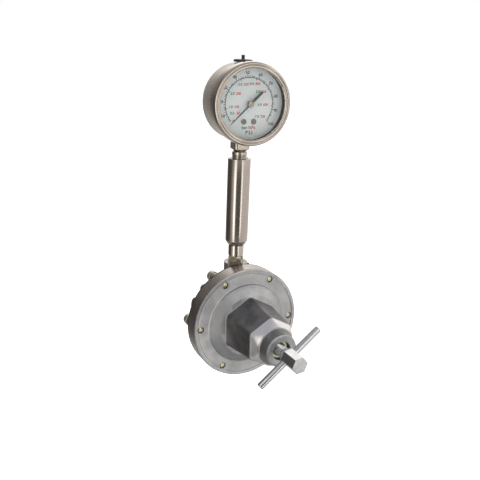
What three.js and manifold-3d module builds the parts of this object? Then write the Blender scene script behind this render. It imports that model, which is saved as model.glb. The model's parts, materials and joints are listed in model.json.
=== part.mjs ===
// Diaphragm pressure regulator with a T-handle, an extension tube and a 0-100 psi liquid-filled gauge.
// Millimetres, +Z up. The regulator's axis runs along Y and its handle points to -Y.
// The origin is the centre of the flat mounting pad on the back of the body.
// Pieces of the regulator are written in the clamp frame: y = 0 is the back of the diaphragm,
// and the last lines move everything back so that the mounting pad lies at y = 0.

import * as THREE from 'three';
import { mergeVertices } from 'three/addons/utils/BufferGeometryUtils.js';
import Module from 'manifold-3d';

const wasm = await Module();
wasm.setup();

// ---------- driving dimensions ----------

const gap = 0.3;                  // clearance between pieces that touch
const fineSides = 40;             // facets of the large turned pieces
const sides = 20;                 // facets of the middling ones
const smallSides = 14;            // facets of pins and screws

// clamped joint of cap, diaphragm and body
const flangeRadius = 50.6;
const diaphragmThickness = 1.2;
const capFlangeThickness = 14.1;
const capRimChamfer = 0.8;
const capRimLand = 2.6;
const capRimStep = 0.5;
const capPlateauRadius = 36.4;
const capPlateauHeight = 1.6;
const capConeRise = 5.5;          // from the plateau's edge up to the foot of the tower
const capConeFlat = 0.3;          // left round the tower's corners at the top of the cone
const screwCircleRadius = flangeRadius - 6.4;
const screwCount = 6;

// hexagonal spring tower of the cap
const towerBaseCorner = 27;
const towerFrontCorner = 22.95;
const towerLength = 42.2;
const towerTurn = THREE.MathUtils.degToRad(31.5);
const shoulderLength = 9.1;
const noseBaseRadius = 16.55;
const noseLength = 9.7;
const noseFrontRadius = 13.2;
const shankRadius = 4.6;          // of the T-handle's thread, which sets the bore of the nose
const bushWall = 3;
const noseBoreRadius = shankRadius + bushWall + 2 * gap;
const springBoreRadius = 16;
const springBoreEnd = towerLength - 3.8; // from the front of the flange to the floor of the spring bore
const capChamberRadius = 34;
const capChamberDepth = 6;

// T-handle
const hexAcross = 12.7;
const hexLength = 17.9;
const hexTurn = THREE.MathUtils.degToRad(8.8);
const collarRadius = shankRadius + 1.4;
const collarLength = 3.8;
const collarStandoff = 6.6;       // from the nose to the collar with the handle backed out
const crossBarRadius = 3;
const crossBarLength = 67;
const crossBarTurn = THREE.MathUtils.degToRad(37.4);
const crossBarInHex = 1.6;        // from the back of the hexagon to the bar's axis

// bush, button and range spring in the cap
const bushRecess = 4;
const bushFlangeRadius = 12;
const bushFlangeThickness = 3.2;
const buttonRadius = 13.6;
const buttonThickness = 3.5;
const buttonSpigotLength = 4.2;
const rangeSpringRadius = 11.5;
const rangeWireRadius = 2;
const rangeSpringTurns = 6;

// diaphragm stack
const plateRadius = 26;
const plateThickness = 3.2;
const studRadius = 3.2;
const studNutAcross = 11;
const studNutThickness = 3.6;
const pusherRadius = 22;
const pusherThickness = 2.6;
const pusherPinRadius = 2.2;
const pusherPinLength = 2.4;
const rollRadius = 31;
const rollHeight = 2;

// flange screws
const screwRadius = 2.85;
const screwHeadRadius = 5;
const screwHeadHeight = 6;
const screwSocketAcross = 5;
const screwSocketDepth = 3.4;
const screwTipRecess = 0.9;

// body
const bodyFlangeThickness = 6.9;
const bodyFlangeRadius = flangeRadius - 7.6;
const lobeRadius = 4.6;
const bodyChamberRadius = 33;
const bodyChamberDepth = 7.4;
const blockHalfWidth = 30.2;
const blockHalfHeight = 28.6;
const blockCorner = 4;
const hubRadius = 24;
const bodyDepth = 42;
const blockDepth = bodyDepth - 22;
const portRadius = 8.6;
const portDepth = 11;
const portBossRadius = 12;
const outletWayRadius = 3.4;
const gaugeWayRadius = 2.2;
const portAxisDepth = bodyDepth - 14;
const bracketHoleRadius = 2.1;
const bracketHoleOffset = 17;
const bracketHoleDepth = 7;

// valve in the body
const valveBoreRadius = 9;
const valveBoreEnd = bodyDepth - 8;
const seatHeadAcross = 20;
const seatHeadThickness = 2.6;
const seatLength = 10.2;
const orificeRadius = 2.5;
const ringWireRadius = 0.6;
const poppetRadius = 4.6;
const poppetThickness = 3;
const poppetStemRadius = 1.6;
const poppetGuideLength = 5;
const valveWireRadius = 0.5;
const valveSpringRadius = 3.2;
const valveSpringTurns = 5;

// gauge port boss and extension tube
const stemSetback = 10.14;        // from the back of the diaphragm to the tube's axis
const bossHeight = flangeRadius - 0.2;
const pipeRadius = 6.85;
const pipeBoreRadius = pipeRadius - 2.45;
const bossRadius = pipeRadius + 3.75;
const bossFrontHalfWidth = bossRadius - 1.6;
const pipeInBoss = 10;
const tubeRadius = pipeRadius + 3.2;
const tubeBottom = bossHeight + 16.8;
const tubeLength = 77.4;
const tubeChamferHeight = 3.6;
const tubeChamferDepth = 2.2;
const tubeTop = tubeBottom + tubeLength;
const tubeThreadDepth = 12.5;
const tubeBoreRadius = 4;
const restrictorThickness = 3;

// gauge
const gaugeTurn = THREE.MathUtils.degToRad(-4.36);
const bezelRadius = 34.25;
const bezelFront = 25.87;         // ahead of the tube's axis
const bezelDepth = 10.3;
const bezelWall = 1.3;
const bezelLip = 2;
const bezelOpeningRadius = bezelRadius - 5.35;
const caseRadius = bezelRadius - bezelWall - 0.35;
const caseWall = 1.2;
const caseBack = -9.3;
const windowThickness = 2.4;
const gasketThickness = 1.4;
const gasketWidth = 2.8;
const dialFace = bezelFront - 10.47;
const dialThickness = 0.8;
const dialRadius = caseRadius - 2;
const dialScrewSpacing = 9;
const dialScrewDrop = 14.6;
const dialScrewHeadRadius = 2.3;
const dialScrewShankRadius = 0.9;
const pointerRest = THREE.MathUtils.degToRad(224.3);
const pointerTip = dialRadius - 6.1;
const pointerTail = dialRadius - 16.3;
const pointerHubRadius = 2.8;
const pointerFace = dialFace + 3.6;
const pointerThickness = 0.6;
const arborRadius = 0.7;
const pinionRadius = 1.1;
const pinionLength = 3;
const sectorPivotDrop = 10;
const sectorSweep = THREE.MathUtils.degToRad(38);
const sectorThickness = 1;
const sectorTailLength = 8;
const sectorTailTurn = THREE.MathUtils.degToRad(-20);
const linkPinRadius = 0.5;
const movementBack = 3.4;
const movementSpace = 5.8;
const plateStock = 1.2;
const pillarRadius = 1.6;
const bourdonRadius = caseRadius - 12.6;
const bourdonWidth = 9;
const bourdonStock = 3;
const bourdonSetback = 2.6;       // behind the tube's axis
const bourdonEnd = THREE.MathUtils.degToRad(-12);
const socketAcross = 2 * pipeRadius + 0.3;
const socketCornerRadius = pipeRadius + 1.65;
const socketFlatsBottom = tubeTop + 8.3;
const socketFlatsTop = socketFlatsBottom + 5.7;
const gaugeHeight = socketFlatsTop + caseRadius + 1.2;
const socketNeckRadius = 6.2;
const socketBlockHalfWidth = 6;
const bourdonStandoff = 1.167;    // from the side of the socket's block to the root of the Bourdon tube
const bourdonStart = 1.5 * Math.PI - Math.asin((socketBlockHalfWidth + bourdonStandoff) / bourdonRadius);
const socketBlockTop = caseRadius - 17.6; // below the gauge's centre
const ventFlangeRadius = 8;
const ventFlangeThickness = 2.1;
const ventStemRadius = 2.8;
const ventPegRadius = 1.4;
const ventPegHeight = 3.6;

// ---------- places worked out from the dimensions ----------

const capBack = -diaphragmThickness - gap;
const capFace = capBack - capFlangeThickness;
const capField = capFace + capRimStep;
const plateauFace = capFace - capPlateauHeight + capRimStep / 2;
const towerFoot = plateauFace - capConeRise;
const towerFront = plateauFace - towerLength;
const noseBase = towerFront - shoulderLength;
const noseFront = noseBase - noseLength;
const springBoreFloor = capFace - springBoreEnd;
const bushFlangeBack = springBoreFloor + gap + bushFlangeThickness;
const buttonFront = bushFlangeBack + 4.3;
const buttonBack = buttonFront + buttonThickness;
const hexBack = noseFront - collarStandoff - collarLength;
const hexFront = hexBack - hexLength;
const crossBarY = hexBack - crossBarInHex;
const plateFront = -diaphragmThickness - gap - plateThickness;
const pusherBack = gap + pusherThickness;
const bodyFace = gap;
const bodyFlangeBack = bodyFace + bodyFlangeThickness;
const seatFront = bodyChamberDepth + 0.4;
const seatShoulder = seatFront + seatHeadThickness;
const seatCounterbore = seatShoulder + 2 * ringWireRadius + 2 * gap;
const seatBack = seatFront + seatLength;
const poppetFront = seatBack + gap;
const poppetBack = poppetFront + poppetThickness;
const pipeBottom = bossHeight - pipeInBoss;
const pipeTop = tubeBottom + tubeThreadDepth;
const tubeUpperSeat = tubeTop - tubeThreadDepth;

// ---------- making shapes ----------

const metal = (color, roughness, metalness = 1) =>
  new THREE.MeshStandardMaterial({ color, roughness, metalness });

const castAluminium = metal(0x9a9b9e, 0.5);
const castSteel = metal(0xa3a19d, 0.45);
const platedSteel = metal(0xb9bcc0, 0.25);
const zincYellow = metal(0xc9c08c, 0.4);
const springSteel = metal(0x4c4e52, 0.4);
const stainless = metal(0xb3aba1, 0.3);
const brass = metal(0xb59a5a, 0.35);
const bronze = metal(0x8c7448, 0.8);
const rubber = metal(0x141414, 0.8, 0);
const dialWhite = metal(0xdfe4e6, 0.5, 0);
const pointerBlack = metal(0x15171a, 0.5, 0);
const glass = metal(0xe8f0f0, 0.05, 0);

const point = (x, y, z) => new THREE.Vector3(x, y, z);

// A turned solid about Y, or a ring when its profile stays off the axis. The profile is [radius, y] pairs.
function turned(profile, segments = sides) {
  const points = profile.map(([radius, y]) => new THREE.Vector2(radius, y));
  if (THREE.ShapeUtils.isClockWise(points)) points.reverse();
  if (points[0].x > 0) points.push(points[0].clone());
  return new THREE.LatheGeometry(points, segments);
}

const turnedUpright = (profile, segments = sides) => turned(profile, segments).rotateX(Math.PI / 2);

// A turned solid on the gauge's own axis. The profile is [radius, distance ahead of the tube's axis].
const turnedGauge = (profile, segments = sides) =>
  turned(profile.map(([radius, ahead]) => [radius, -ahead]), segments);

function rod(radius, start, end, segments = smallSides) {
  const along = end.clone().sub(start);
  const middle = start.clone().add(end).multiplyScalar(0.5);
  const turn = new THREE.Quaternion().setFromUnitVectors(point(0, 1, 0), along.clone().normalize());
  const geometry = new THREE.CylinderGeometry(radius, radius, along.length(), segments);
  return geometry.applyQuaternion(turn).translate(middle.x, middle.y, middle.z);
}

function block(low, high) {
  const size = high.clone().sub(low);
  const middle = low.clone().add(high).multiplyScalar(0.5);
  return new THREE.BoxGeometry(size.x, size.y, size.z).translate(middle.x, middle.y, middle.z);
}

// A hexagonal bar about Y, with one corner turned by the angle from +X towards +Z.
function hexBar(across, front, back, turn = 0) {
  const geometry = new THREE.CylinderGeometry(across / Math.sqrt(3), across / Math.sqrt(3), back - front, 6);
  return geometry.rotateY(Math.PI / 2 - turn).translate(0, (front + back) / 2, 0);
}

// A flat plate in the XZ plane, from its front at y = front to its back.
function platform(shape, front, back, segments = 6) {
  const geometry = new THREE.ExtrudeGeometry(shape, {
    depth: back - front, bevelEnabled: false, curveSegments: segments,
  });
  return geometry.rotateX(Math.PI / 2).translate(0, back, 0);
}

function helix(radius, wireRadius, front, back, turns, stepsPerTurn) {
  class Coil extends THREE.Curve {
    getPoint(t, target = new THREE.Vector3()) {
      const angle = turns * 2 * Math.PI * t;
      return target.set(radius * Math.cos(angle), front + (back - front) * t, radius * Math.sin(angle));
    }
  }
  const section = new THREE.Shape();
  section.absarc(0, 0, wireRadius, 0, 2 * Math.PI);
  return new THREE.ExtrudeGeometry(section, {
    extrudePath: new Coil(), steps: turns * stepsPerTurn, curveSegments: 3, bevelEnabled: false,
  });
}

function toSolid(geometry) {
  const bare = geometry.clone();
  bare.deleteAttribute('normal');
  bare.deleteAttribute('uv');
  const merged = mergeVertices(bare, 1e-4);
  const corners = merged.index.array;
  const kept = [];
  for (let i = 0; i < corners.length; i += 3) {
    const [a, b, c] = [corners[i], corners[i + 1], corners[i + 2]];
    if (a !== b && b !== c && c !== a) kept.push(a, b, c);
  }
  return new wasm.Manifold(new wasm.Mesh({
    numProp: 3,
    vertProperties: new Float32Array(merged.attributes.position.array),
    triVerts: new Uint32Array(kept),
  }));
}

function toGeometry(solid) {
  const mesh = solid.getMesh();
  const geometry = new THREE.BufferGeometry();
  geometry.setAttribute('position', new THREE.BufferAttribute(new Float32Array(mesh.vertProperties), 3));
  geometry.setIndex(new THREE.BufferAttribute(new Uint32Array(mesh.triVerts), 1));
  geometry.computeVertexNormals();
  return geometry;
}

const joined = (geometries) =>
  toGeometry(geometries.map(toSolid).reduce((whole, piece) => whole.add(piece)));

const cut = (geometry, tools) =>
  toGeometry(tools.map(toSolid).reduce((whole, tool) => whole.subtract(tool), toSolid(geometry)));

const common = (a, b) => toGeometry(toSolid(a).intersect(toSolid(b)));

const regulator = new THREE.Group();
const clampFrame = new THREE.Group();
const gaugeFrame = new THREE.Group();
gaugeFrame.position.set(0, stemSetback, gaugeHeight);
gaugeFrame.rotation.z = gaugeTurn;
clampFrame.add(gaugeFrame);
regulator.add(clampFrame);

function add(frame, name, geometry, material) {
  const mesh = new THREE.Mesh(geometry, material);
  mesh.name = name;
  frame.add(mesh);
  return mesh;
}

const screwAngles = Array.from({ length: screwCount }, (_, i) => (i * 2 * Math.PI) / screwCount);
const onScrewCircle = (angle, y) =>
  point(screwCircleRadius * Math.cos(angle), y, screwCircleRadius * Math.sin(angle));

const screwHoles = (radius, front, back) =>
  screwAngles.map((angle) => rod(radius, onScrewCircle(angle, front), onScrewCircle(angle, back), 10));

// ---------- spring cap ----------

function springCap() {
  const flange = turned([
    [0, capBack], [flangeRadius, capBack], [flangeRadius, capFace + capRimChamfer],
    [flangeRadius - capRimChamfer, capFace], [flangeRadius - capRimLand, capFace],
    [flangeRadius - capRimLand - capRimStep, capField], [capPlateauRadius + 0.8, capField],
    [capPlateauRadius, plateauFace], [towerBaseCorner + capConeFlat, towerFoot], [0, towerFoot],
  ], fineSides);
  const shoulderCorner = noseBaseRadius / Math.cos(Math.PI / 6);
  const tower = turned([
    [0, capFace + 4], [towerBaseCorner, capFace + 4], [towerBaseCorner, towerFoot],
    [towerFrontCorner, towerFront], [shoulderCorner, noseBase], [0, noseBase],
  ], 6).rotateY(Math.PI / 2 - towerTurn);
  const slope = shoulderLength / (towerFrontCorner - noseBaseRadius);
  const envelopeRadius = towerBaseCorner + 4;
  const envelope = turned([
    [0, capBack], [envelopeRadius, capBack],
    [envelopeRadius, noseBase + (envelopeRadius - noseBaseRadius) * slope],
    [noseBaseRadius, noseBase], [0, noseBase],
  ], fineSides);
  const nose = turned([
    [0, noseBase + 2], [noseBaseRadius - 0.2, noseBase + 2], [noseBaseRadius, noseBase],
    [noseFrontRadius + 1, noseFront + 1.2], [noseFrontRadius, noseFront], [0, noseFront],
  ], 32);
  const hollow = turned([
    [0, capBack + 1], [capChamberRadius, capBack + 1], [capChamberRadius, capBack - capChamberDepth],
    [springBoreRadius, capBack - capChamberDepth - 6], [springBoreRadius, springBoreFloor],
    [noseBoreRadius, springBoreFloor], [noseBoreRadius, noseFront - 1], [0, noseFront - 1],
  ], 32);
  const outer = joined([flange, common(tower, envelope), nose]);
  const holes = screwHoles(screwRadius + gap, capFace - 3, capBack + 3);
  return cut(outer, [hollow, ...holes]);
}
add(clampFrame, 'spring_cap', springCap(), castAluminium);

// ---------- T-handle, bush, button and range spring ----------

function threadBush() {
  const outside = noseBoreRadius - gap;
  const inside = shankRadius + gap;
  const front = noseFront + bushRecess;
  return turned([
    [inside, front + 1], [inside + 0.8, front], [outside, front],
    [outside, bushFlangeBack - bushFlangeThickness],
    [bushFlangeRadius, bushFlangeBack - bushFlangeThickness],
    [bushFlangeRadius, bushFlangeBack], [inside, bushFlangeBack],
  ]);
}
add(clampFrame, 'thread_bush', threadBush(), zincYellow);

const screwTip = buttonBack - 0.7;

function adjustingScrew() {
  const shank = turned([
    [0, screwTip], [shankRadius - 1.2, screwTip], [shankRadius, screwTip - 1.2],
    [shankRadius, hexBack + collarLength], [collarRadius, hexBack + collarLength - 0.6],
    [collarRadius, hexBack - 0.5], [0, hexBack - 0.5],
  ]);
  const head = hexBar(hexAcross, hexFront, hexBack, hexTurn);
  const hole = rod(crossBarRadius + gap, barPoint(-20), barPoint(20));
  return cut(joined([shank, head]), [hole]);
}

function barPoint(distance) {
  return point(distance * Math.cos(crossBarTurn), crossBarY, distance * Math.sin(crossBarTurn));
}
add(clampFrame, 'adjusting_screw', adjustingScrew(), platedSteel);

function crossBar() {
  const half = crossBarLength / 2;
  const bar = turned([
    [0, -half], [crossBarRadius - 0.5, -half], [crossBarRadius, 0.5 - half],
    [crossBarRadius, half - 0.5], [crossBarRadius - 0.5, half], [0, half],
  ], 20);
  return bar.rotateZ(-Math.PI / 2).rotateY(-crossBarTurn).translate(0, crossBarY, 0);
}
add(clampFrame, 'cross_bar', crossBar(), platedSteel);

function springButton() {
  const dimple = shankRadius + gap;
  const spigot = rangeSpringRadius - rangeWireRadius - 2 * gap;
  return turned([
    [0, screwTip + gap], [dimple, screwTip + gap], [dimple, buttonFront], [buttonRadius - 0.6, buttonFront],
    [buttonRadius, buttonFront + 0.6], [buttonRadius, buttonBack], [spigot, buttonBack],
    [spigot, buttonBack + buttonSpigotLength], [0, buttonBack + buttonSpigotLength],
  ]);
}
add(clampFrame, 'spring_button', springButton(), platedSteel);

const rangeSpring = helix(rangeSpringRadius, rangeWireRadius, buttonBack + gap + rangeWireRadius,
  plateFront - gap - rangeWireRadius, rangeSpringTurns, 14);
add(clampFrame, 'range_spring', rangeSpring, springSteel);

// ---------- diaphragm and its plates ----------

function diaphragm() {
  const half = diaphragmThickness / 2;
  const roll = (capChamberRadius - plateRadius) / 2 - 1;
  const disc = turned([
    [studRadius + gap, -2 * half], [rollRadius - roll, -2 * half], [rollRadius - 1, rollHeight - 2 * half],
    [rollRadius + 1, rollHeight - 2 * half], [rollRadius + roll, -2 * half], [flangeRadius - gap, -2 * half],
    [flangeRadius - gap, 0], [rollRadius + roll - 1, 0], [rollRadius + 1, rollHeight],
    [rollRadius - 1, rollHeight], [rollRadius - roll + 1, 0], [studRadius + gap, 0],
  ], fineSides);
  return cut(disc, screwHoles(screwRadius + 2 * gap, -4, 4));
}
add(clampFrame, 'diaphragm', diaphragm(), rubber);

add(clampFrame, 'diaphragm_plate', turned([
  [studRadius + gap, plateFront], [plateRadius - 1, plateFront], [plateRadius, plateFront + 1],
  [plateRadius, plateFront + plateThickness], [studRadius + gap, plateFront + plateThickness],
], 32), platedSteel);

const studNutBack = plateFront - gap;

add(clampFrame, 'diaphragm_nut', cut(
  hexBar(studNutAcross, studNutBack - studNutThickness, studNutBack),
  [rod(studRadius + gap, point(0, studNutBack - 2 * studNutThickness, 0), point(0, studNutBack + 1, 0))],
), platedSteel);

add(clampFrame, 'diaphragm_pusher', turned([
  [0, studNutBack - studNutThickness - 1.4], [studRadius, studNutBack - studNutThickness - 1.4],
  [studRadius, gap], [pusherRadius, gap], [pusherRadius, pusherBack - 0.8], [pusherRadius - 0.8, pusherBack],
  [pusherPinRadius, pusherBack], [pusherPinRadius, pusherBack + pusherPinLength],
  [0, pusherBack + pusherPinLength],
], 32), stainless);

// ---------- body ----------

function roundedBlock() {
  const [w, h, r] = [blockHalfWidth, blockHalfHeight, blockCorner];
  const outline = new THREE.Shape();
  outline.moveTo(r - w, -h);
  outline.lineTo(w - r, -h);
  outline.absarc(w - r, r - h, r, -Math.PI / 2, 0);
  outline.absarc(w - r, h - r, r, 0, Math.PI / 2);
  outline.absarc(r - w, h - r, r, Math.PI / 2, Math.PI);
  outline.absarc(r - w, r - h, r, Math.PI, 1.5 * Math.PI);
  return platform(outline, bodyFlangeBack - 1, blockDepth, 4);
}

function gaugePortBoss() {
  const plan = new THREE.Shape();
  const lean = Math.asin((bossRadius - bossFrontHalfWidth) / stemSetback);
  plan.moveTo(-bossFrontHalfWidth, bodyFace);
  plan.lineTo(bossFrontHalfWidth, bodyFace);
  plan.absarc(0, stemSetback, bossRadius, -lean, Math.PI + lean);
  const base = bodyChamberRadius - 6;
  const boss = new THREE.ExtrudeGeometry(plan, {
    depth: bossHeight - base, bevelEnabled: false, curveSegments: 10,
  });
  return boss.translate(0, 0, base);
}

function body() {
  const flange = turned([
    [0, bodyFace], [bodyFlangeRadius, bodyFace], [bodyFlangeRadius, bodyFlangeBack], [0, bodyFlangeBack],
  ], fineSides);
  const lobes = screwAngles.map((angle) =>
    rod(lobeRadius, onScrewCircle(angle, bodyFace), onScrewCircle(angle, bodyFlangeBack), 20));
  const hub = turned([
    [0, blockDepth - 1], [hubRadius + 2, blockDepth - 1], [hubRadius, blockDepth + 3],
    [hubRadius, bodyDepth - 1], [hubRadius - 1, bodyDepth], [0, bodyDepth],
  ], 32);
  const portBosses = rod(portBossRadius, point(-blockHalfWidth, portAxisDepth, 0),
    point(blockHalfWidth, portAxisDepth, 0), sides);
  const solid = joined([flange, ...lobes, roundedBlock(), hub, portBosses, gaugePortBoss()]);
  return cut(solid, [...bodyHollows(), ...bodyPassages(), ...screwHoles(screwRadius + gap, -2, 12)]);
}

function bodyHollows() {
  const chamber = turned([
    [0, bodyFace - 1], [bodyChamberRadius, bodyFace - 1], [bodyChamberRadius, bodyChamberDepth],
    [0, bodyChamberDepth],
  ], 32);
  const headRadius = seatHeadAcross / Math.sqrt(3) + 2 * gap;
  const valveBore = turned([
    [0, bodyChamberDepth - 1], [headRadius, bodyChamberDepth - 1], [headRadius, seatCounterbore],
    [valveBoreRadius, seatCounterbore], [valveBoreRadius, valveBoreEnd], [0, valveBoreEnd],
  ]);
  return [chamber, valveBore];
}

function bodyPassages() {
  const portEnd = blockHalfWidth - portDepth;
  const onPortAxis = (x) => point(x, portAxisDepth, 0);
  const inlet = rod(portRadius, onPortAxis(-blockHalfWidth - 1), onPortAxis(-portEnd));
  const outlet = rod(portRadius, onPortAxis(portEnd), onPortAxis(blockHalfWidth + 1));
  const inletWay = rod(portRadius / 2, onPortAxis(-portEnd - 1), onPortAxis(0), 12);
  const outletX = portEnd + portDepth / 2 - 1;
  const outletWay = rod(outletWayRadius, point(outletX, bodyChamberDepth - 1, 0), onPortAxis(outletX), 12);
  const pipeHole = rod(pipeRadius + gap, point(0, stemSetback, pipeBottom - gap),
    point(0, stemSetback, bossHeight + 1), sides);
  const gaugeWayZ = bodyChamberRadius - 4;
  const onStemAxis = (z) => point(0, stemSetback, z);
  const gaugeWay = rod(gaugeWayRadius, onStemAxis(gaugeWayZ - 1), onStemAxis(pipeBottom), 12);
  const gaugeEntryStart = point(0, bodyChamberDepth - 1, gaugeWayZ);
  const gaugeEntry = rod(gaugeWayRadius, gaugeEntryStart, onStemAxis(gaugeWayZ), 12);
  const bracketHoles = [-bracketHoleOffset, bracketHoleOffset].map((z) =>
    rod(bracketHoleRadius, point(0, bodyDepth - bracketHoleDepth, z), point(0, bodyDepth + 1, z), 12));
  return [inlet, outlet, inletWay, outletWay, pipeHole, gaugeWay, gaugeEntry, ...bracketHoles];
}
add(clampFrame, 'body', body(), castSteel);

function flangeScrew(angle) {
  const head = bodyFlangeBack + gap;
  const screw = turned([
    [0, capFace + screwTipRecess], [screwRadius - 0.7, capFace + screwTipRecess],
    [screwRadius, capFace + screwTipRecess + 0.7], [screwRadius, head], [screwHeadRadius, head],
    [screwHeadRadius, head + screwHeadHeight - 0.8], [screwHeadRadius - 0.8, head + screwHeadHeight],
    [0, head + screwHeadHeight],
  ], smallSides);
  const headBack = head + screwHeadHeight;
  const socket = hexBar(screwSocketAcross, headBack - screwSocketDepth, headBack + 1);
  const place = onScrewCircle(angle, 0);
  return cut(screw, [socket]).translate(place.x, 0, place.z);
}
screwAngles.forEach((angle, i) => add(clampFrame, `flange_screw_${i + 1}`, flangeScrew(angle), zincYellow));

// ---------- valve ----------

function valveSeat() {
  const head = hexBar(seatHeadAcross, seatFront, seatShoulder);
  const shank = turned([
    [0, seatShoulder - 0.5], [valveBoreRadius - gap, seatShoulder - 0.5],
    [valveBoreRadius - gap, seatBack - 1], [orificeRadius + 1.4, seatBack], [0, seatBack],
  ]);
  const orifice = rod(orificeRadius, point(0, seatFront - 1, 0), point(0, seatBack + 1, 0));
  return cut(joined([head, shank]), [orifice]);
}
add(clampFrame, 'valve_seat', valveSeat(), stainless);

function ring(meanRadius, wireRadius, y, segments = sides) {
  const corners = 6;
  const profile = Array.from({ length: corners }, (_, i) => {
    const angle = (i * 2 * Math.PI) / corners;
    return [meanRadius + wireRadius * Math.cos(angle), y + wireRadius * Math.sin(angle)];
  });
  return turned(profile, segments);
}
add(clampFrame, 'seat_o_ring',
  ring(valveBoreRadius + ringWireRadius + gap, ringWireRadius, seatShoulder + gap + ringWireRadius), rubber);

add(clampFrame, 'valve_poppet', turned([
  [0, pusherBack + pusherPinLength + gap], [poppetStemRadius, pusherBack + pusherPinLength + gap],
  [poppetStemRadius, poppetFront - 0.1], [poppetRadius, poppetFront + 0.9], [poppetRadius, poppetBack],
  [poppetStemRadius, poppetBack], [poppetStemRadius, poppetBack + poppetGuideLength],
  [0, poppetBack + poppetGuideLength],
], sides), stainless);

const valveSpring = helix(valveSpringRadius, valveWireRadius, poppetBack + gap + valveWireRadius,
  valveBoreEnd - gap - valveWireRadius, valveSpringTurns, 10);
add(clampFrame, 'valve_spring', valveSpring, springSteel);

// ---------- pipe nipple and extension tube ----------

const stemFrame = new THREE.Group();
stemFrame.position.y = stemSetback;
clampFrame.add(stemFrame);

add(stemFrame, 'gauge_nipple', turnedUpright([
  [pipeBoreRadius, pipeBottom], [pipeRadius - 0.6, pipeBottom], [pipeRadius, pipeBottom + 0.8],
  [pipeRadius, pipeTop - gap - 0.8], [pipeRadius - 0.6, pipeTop - gap], [pipeBoreRadius, pipeTop - gap],
]), stainless);

add(stemFrame, 'extension_tube', turnedUpright([
  [pipeRadius + gap, tubeBottom], [tubeRadius - tubeChamferDepth, tubeBottom],
  [tubeRadius, tubeBottom + tubeChamferHeight], [tubeRadius, tubeTop - 0.5], [tubeRadius - 0.5, tubeTop],
  [pipeRadius + gap, tubeTop], [pipeRadius + gap, tubeUpperSeat], [tubeBoreRadius, tubeUpperSeat],
  [tubeBoreRadius, pipeTop], [pipeRadius + gap, pipeTop],
], 32), stainless);

add(stemFrame, 'restrictor_disc', turnedUpright([
  [0, tubeUpperSeat + gap], [pipeRadius, tubeUpperSeat + gap],
  [pipeRadius, tubeUpperSeat + gap + restrictorThickness], [0, tubeUpperSeat + gap + restrictorThickness],
]), bronze);

// ---------- gauge housing ----------

const fromGauge = (height) => height - gaugeHeight;
const caseFront = bezelFront - bezelLip - 2 * gap - windowThickness - gap - gasketThickness - gap;
const gasketFront = caseFront + gap + gasketThickness;
const windowBack = gasketFront + gap;
const windowFront = windowBack + windowThickness;

function gaugeCase() {
  const inside = caseRadius - caseWall;
  const cup = turnedGauge([
    [0, caseBack], [caseRadius - 1.6, caseBack], [caseRadius, caseBack + 1.6], [caseRadius, caseFront],
    [inside, caseFront], [inside, caseBack + caseWall + 1], [inside - 1, caseBack + caseWall],
    [0, caseBack + caseWall],
  ], fineSides);
  const socketHole = rod(socketNeckRadius + gap, point(0, 0, -caseRadius - 4), point(0, 0, 8 - caseRadius));
  const ventHole = rod(ventStemRadius + gap, point(0, 0, caseRadius - 6), point(0, 0, caseRadius + 4));
  return cut(cup, [socketHole, ventHole]);
}
add(gaugeFrame, 'gauge_case', gaugeCase(), stainless);

const bezelInside = bezelRadius - bezelWall;

add(gaugeFrame, 'gauge_bezel', turnedGauge([
  [bezelInside, bezelFront - bezelDepth], [bezelRadius, bezelFront - bezelDepth],
  [bezelRadius, bezelFront - 0.9], [bezelRadius - 0.9, bezelFront], [bezelRadius - 2.2, bezelFront],
  [bezelRadius - 2.6, bezelFront - 0.5], [bezelRadius - 3.1, bezelFront - 0.1],
  [bezelOpeningRadius + 0.7, bezelFront - 0.3], [bezelOpeningRadius, bezelFront - 1.1],
  [bezelOpeningRadius, bezelFront - bezelLip], [bezelInside, bezelFront - bezelLip],
], fineSides), stainless);

const windowRadius = bezelInside - 2 * gap;

add(gaugeFrame, 'gauge_window', turnedGauge([
  [0, windowBack], [windowRadius, windowBack], [windowRadius, windowFront], [0, windowFront],
], fineSides), glass);

add(gaugeFrame, 'window_gasket', turnedGauge([
  [caseRadius - gasketWidth, caseFront + gap], [caseRadius, caseFront + gap], [caseRadius, gasketFront],
  [caseRadius - gasketWidth, gasketFront],
], fineSides), rubber);

const ventStemEnd = caseRadius - caseWall - 2;
const ventSeat = caseRadius + gap;
const ventTop = ventSeat + ventFlangeThickness;

add(gaugeFrame, 'vent_plug', turnedUpright([
  [0, ventStemEnd], [ventStemRadius, ventStemEnd], [ventStemRadius, ventSeat],
  [ventFlangeRadius - 0.4, ventSeat], [ventFlangeRadius, ventSeat + 0.4],
  [ventFlangeRadius, ventTop - 0.7], [ventFlangeRadius - 0.9, ventTop],
  [ventPegRadius, ventTop], [ventPegRadius, ventTop + ventPegHeight], [0, ventTop + ventPegHeight],
]), rubber);

// ---------- gauge socket, tube and movement ----------

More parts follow.
